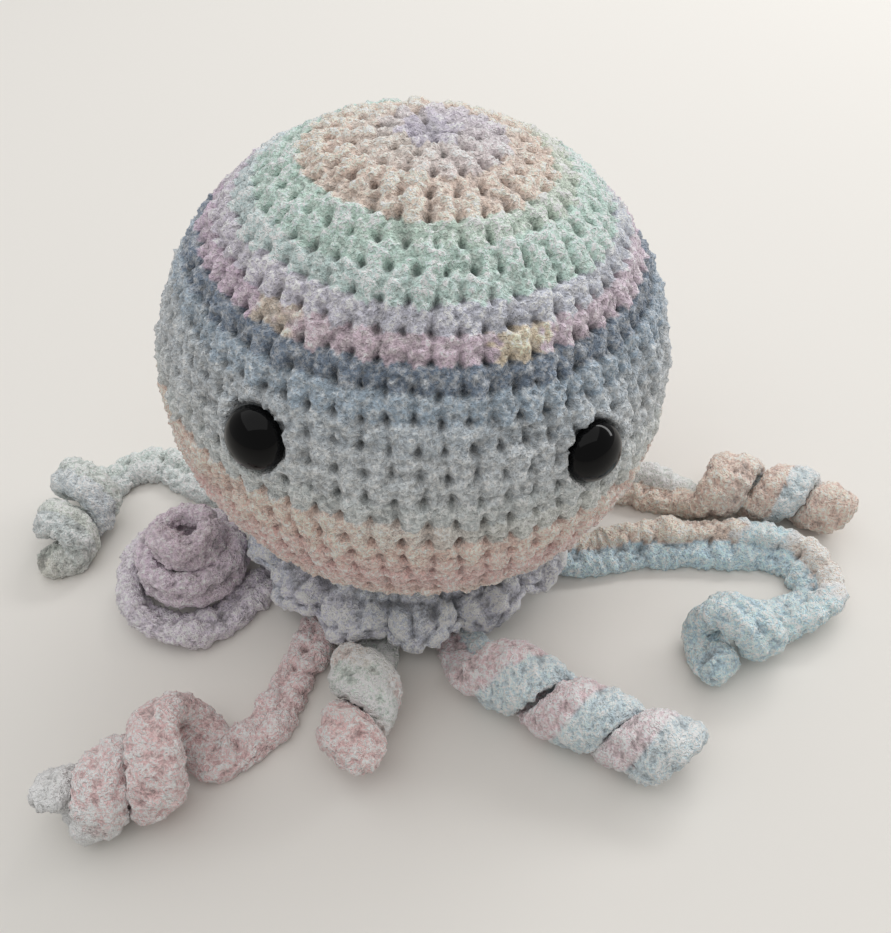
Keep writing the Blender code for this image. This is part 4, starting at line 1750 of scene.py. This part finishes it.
@dataclass(frozen=True)
class SoftLamp:
    """One rectangular soft lamp that faces the toy.

    direction runs from the toy to the lamp and along is the way its long side runs. Its size and its
    distance are in metres.
    """

    name: str
    direction: tuple[float, float, float]
    along: tuple[float, float, float]
    size: tuple[float, float]
    away: float
    watts: float
    target: tuple[float, float, float] = (0.0, 0.0, 0.06)

    def build(self) -> None:
        """Adds the lamp."""
        towards = Vector(self.direction).normalized()
        side = Vector(self.along)
        side = (side - towards * side.dot(towards)).normalized()
        turn = Matrix((side, towards.cross(side), towards)).transposed().to_4x4()
        bpy.ops.object.light_add(type="AREA")
        lamp = bpy.context.object
        lamp.name = self.name
        lamp.matrix_world = Matrix.Translation(Vector(self.target) + towards * self.away) @ turn
        lamp.data.shape = "RECTANGLE"
        lamp.data.size, lamp.data.size_y = self.size
        lamp.data.energy = self.watts


@dataclass
class Studio:
    """Pale floor, soft window light from the back right and the photograph's camera."""

    camera_place: tuple[float, float, float] = (0.0, -189.5, 230.35)
    camera_right: tuple[float, float, float] = (0.9929, -0.0974, -0.0676)
    camera_up: tuple[float, float, float] = (0.1174, 0.7273, 0.6762)
    focal_px: float = 870.0
    frame_px: tuple[int, int] = (891, 933)
    sensor_mm: float = 36.0
    nearest: float = 0.01
    floor_size: float = 6.0
    world_colour: str = "F3F2F0"
    world_strength: float = 0.45
    lamps: tuple[SoftLamp, ...] = (
        SoftLamp("window_light", (0.72, 0.45, 0.5), (-0.876, 0.824, 0.744), (1.7, 0.22), 1.4, 10.0),
        SoftLamp("ceiling_light", (-0.1, 0.15, 1.0), (1.0, 0.0, 0.0), (3.2, 3.2), 1.8, 26.0),
    )

    def build_floor(self) -> None:
        """Lays the floor under the toy."""
        deselect()
        bpy.ops.mesh.primitive_plane_add(size=self.floor_size)
        floor = named("studio_floor")
        floor.data.materials.append(FloorPaint().material())

    def build_light(self) -> None:
        """Sets the tall window, the pale ceiling and an even pale surround."""
        for lamp in self.lamps:
            lamp.build()
        world = bpy.data.worlds.new("pale_surround")
        bpy.context.scene.world = world
        world.use_nodes = True
        background = world.node_tree.nodes["Background"]
        background.inputs["Color"].default_value = linear(self.world_colour)
        background.inputs["Strength"].default_value = self.world_strength
        bpy.context.scene.view_settings.view_transform = "Standard"

    def build_camera(self) -> None:
        """Sets the camera where the floor's seams in the photograph put it."""
        right = Vector(self.camera_right).normalized()
        up = Vector(self.camera_up)
        up = (up - right * up.dot(right)).normalized()
        back = right.cross(up)
        turn = Matrix((right, up, back)).transposed().to_4x4()
        place = (Vector(self.camera_place) + Vector((*BELL_FOOT, 0.0))) * MM
        bpy.ops.object.camera_add()
        camera = bpy.context.object
        camera.name = "photo_camera"
        camera.matrix_world = Matrix.Translation(place) @ turn
        camera.data.sensor_width = self.sensor_mm
        camera.data.lens = self.sensor_mm * self.focal_px / max(self.frame_px)
        camera.data.clip_start = self.nearest
        bpy.context.scene.camera = camera


def dress_washers() -> None:
    """Gives the two washers of the CAD their plastic."""
    finish = WasherPlastic().material()
    for side in Side:
        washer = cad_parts[f"eye_washer_{side.value}"]
        washer.data.materials.clear()
        washer.data.materials.append(finish)
        LOG.info("%s: dressed as the CAD has it", washer.name)


def main() -> None:
    """Builds the toy, the studio and the camera, and reports each piece."""
    logging.basicConfig(level=logging.INFO, format="%(name)s: %(message)s")
    bell = Bell()
    bell.build()
    bell.build_filling()
    plastic = DomedEyePlastic().material()
    for side, (latitude, longitude) in zip(Side, bell.eyes):
        SafetyEye(side, latitude, longitude).build(bell, plastic)
    dress_washers()
    Ruffle().build(bell)
    for tentacle in tentacles():
        tentacle.build(bell)
    studio = Studio()
    studio.build_floor()
    studio.build_light()
    studio.build_camera()


if __name__ == "__main__":
    main()
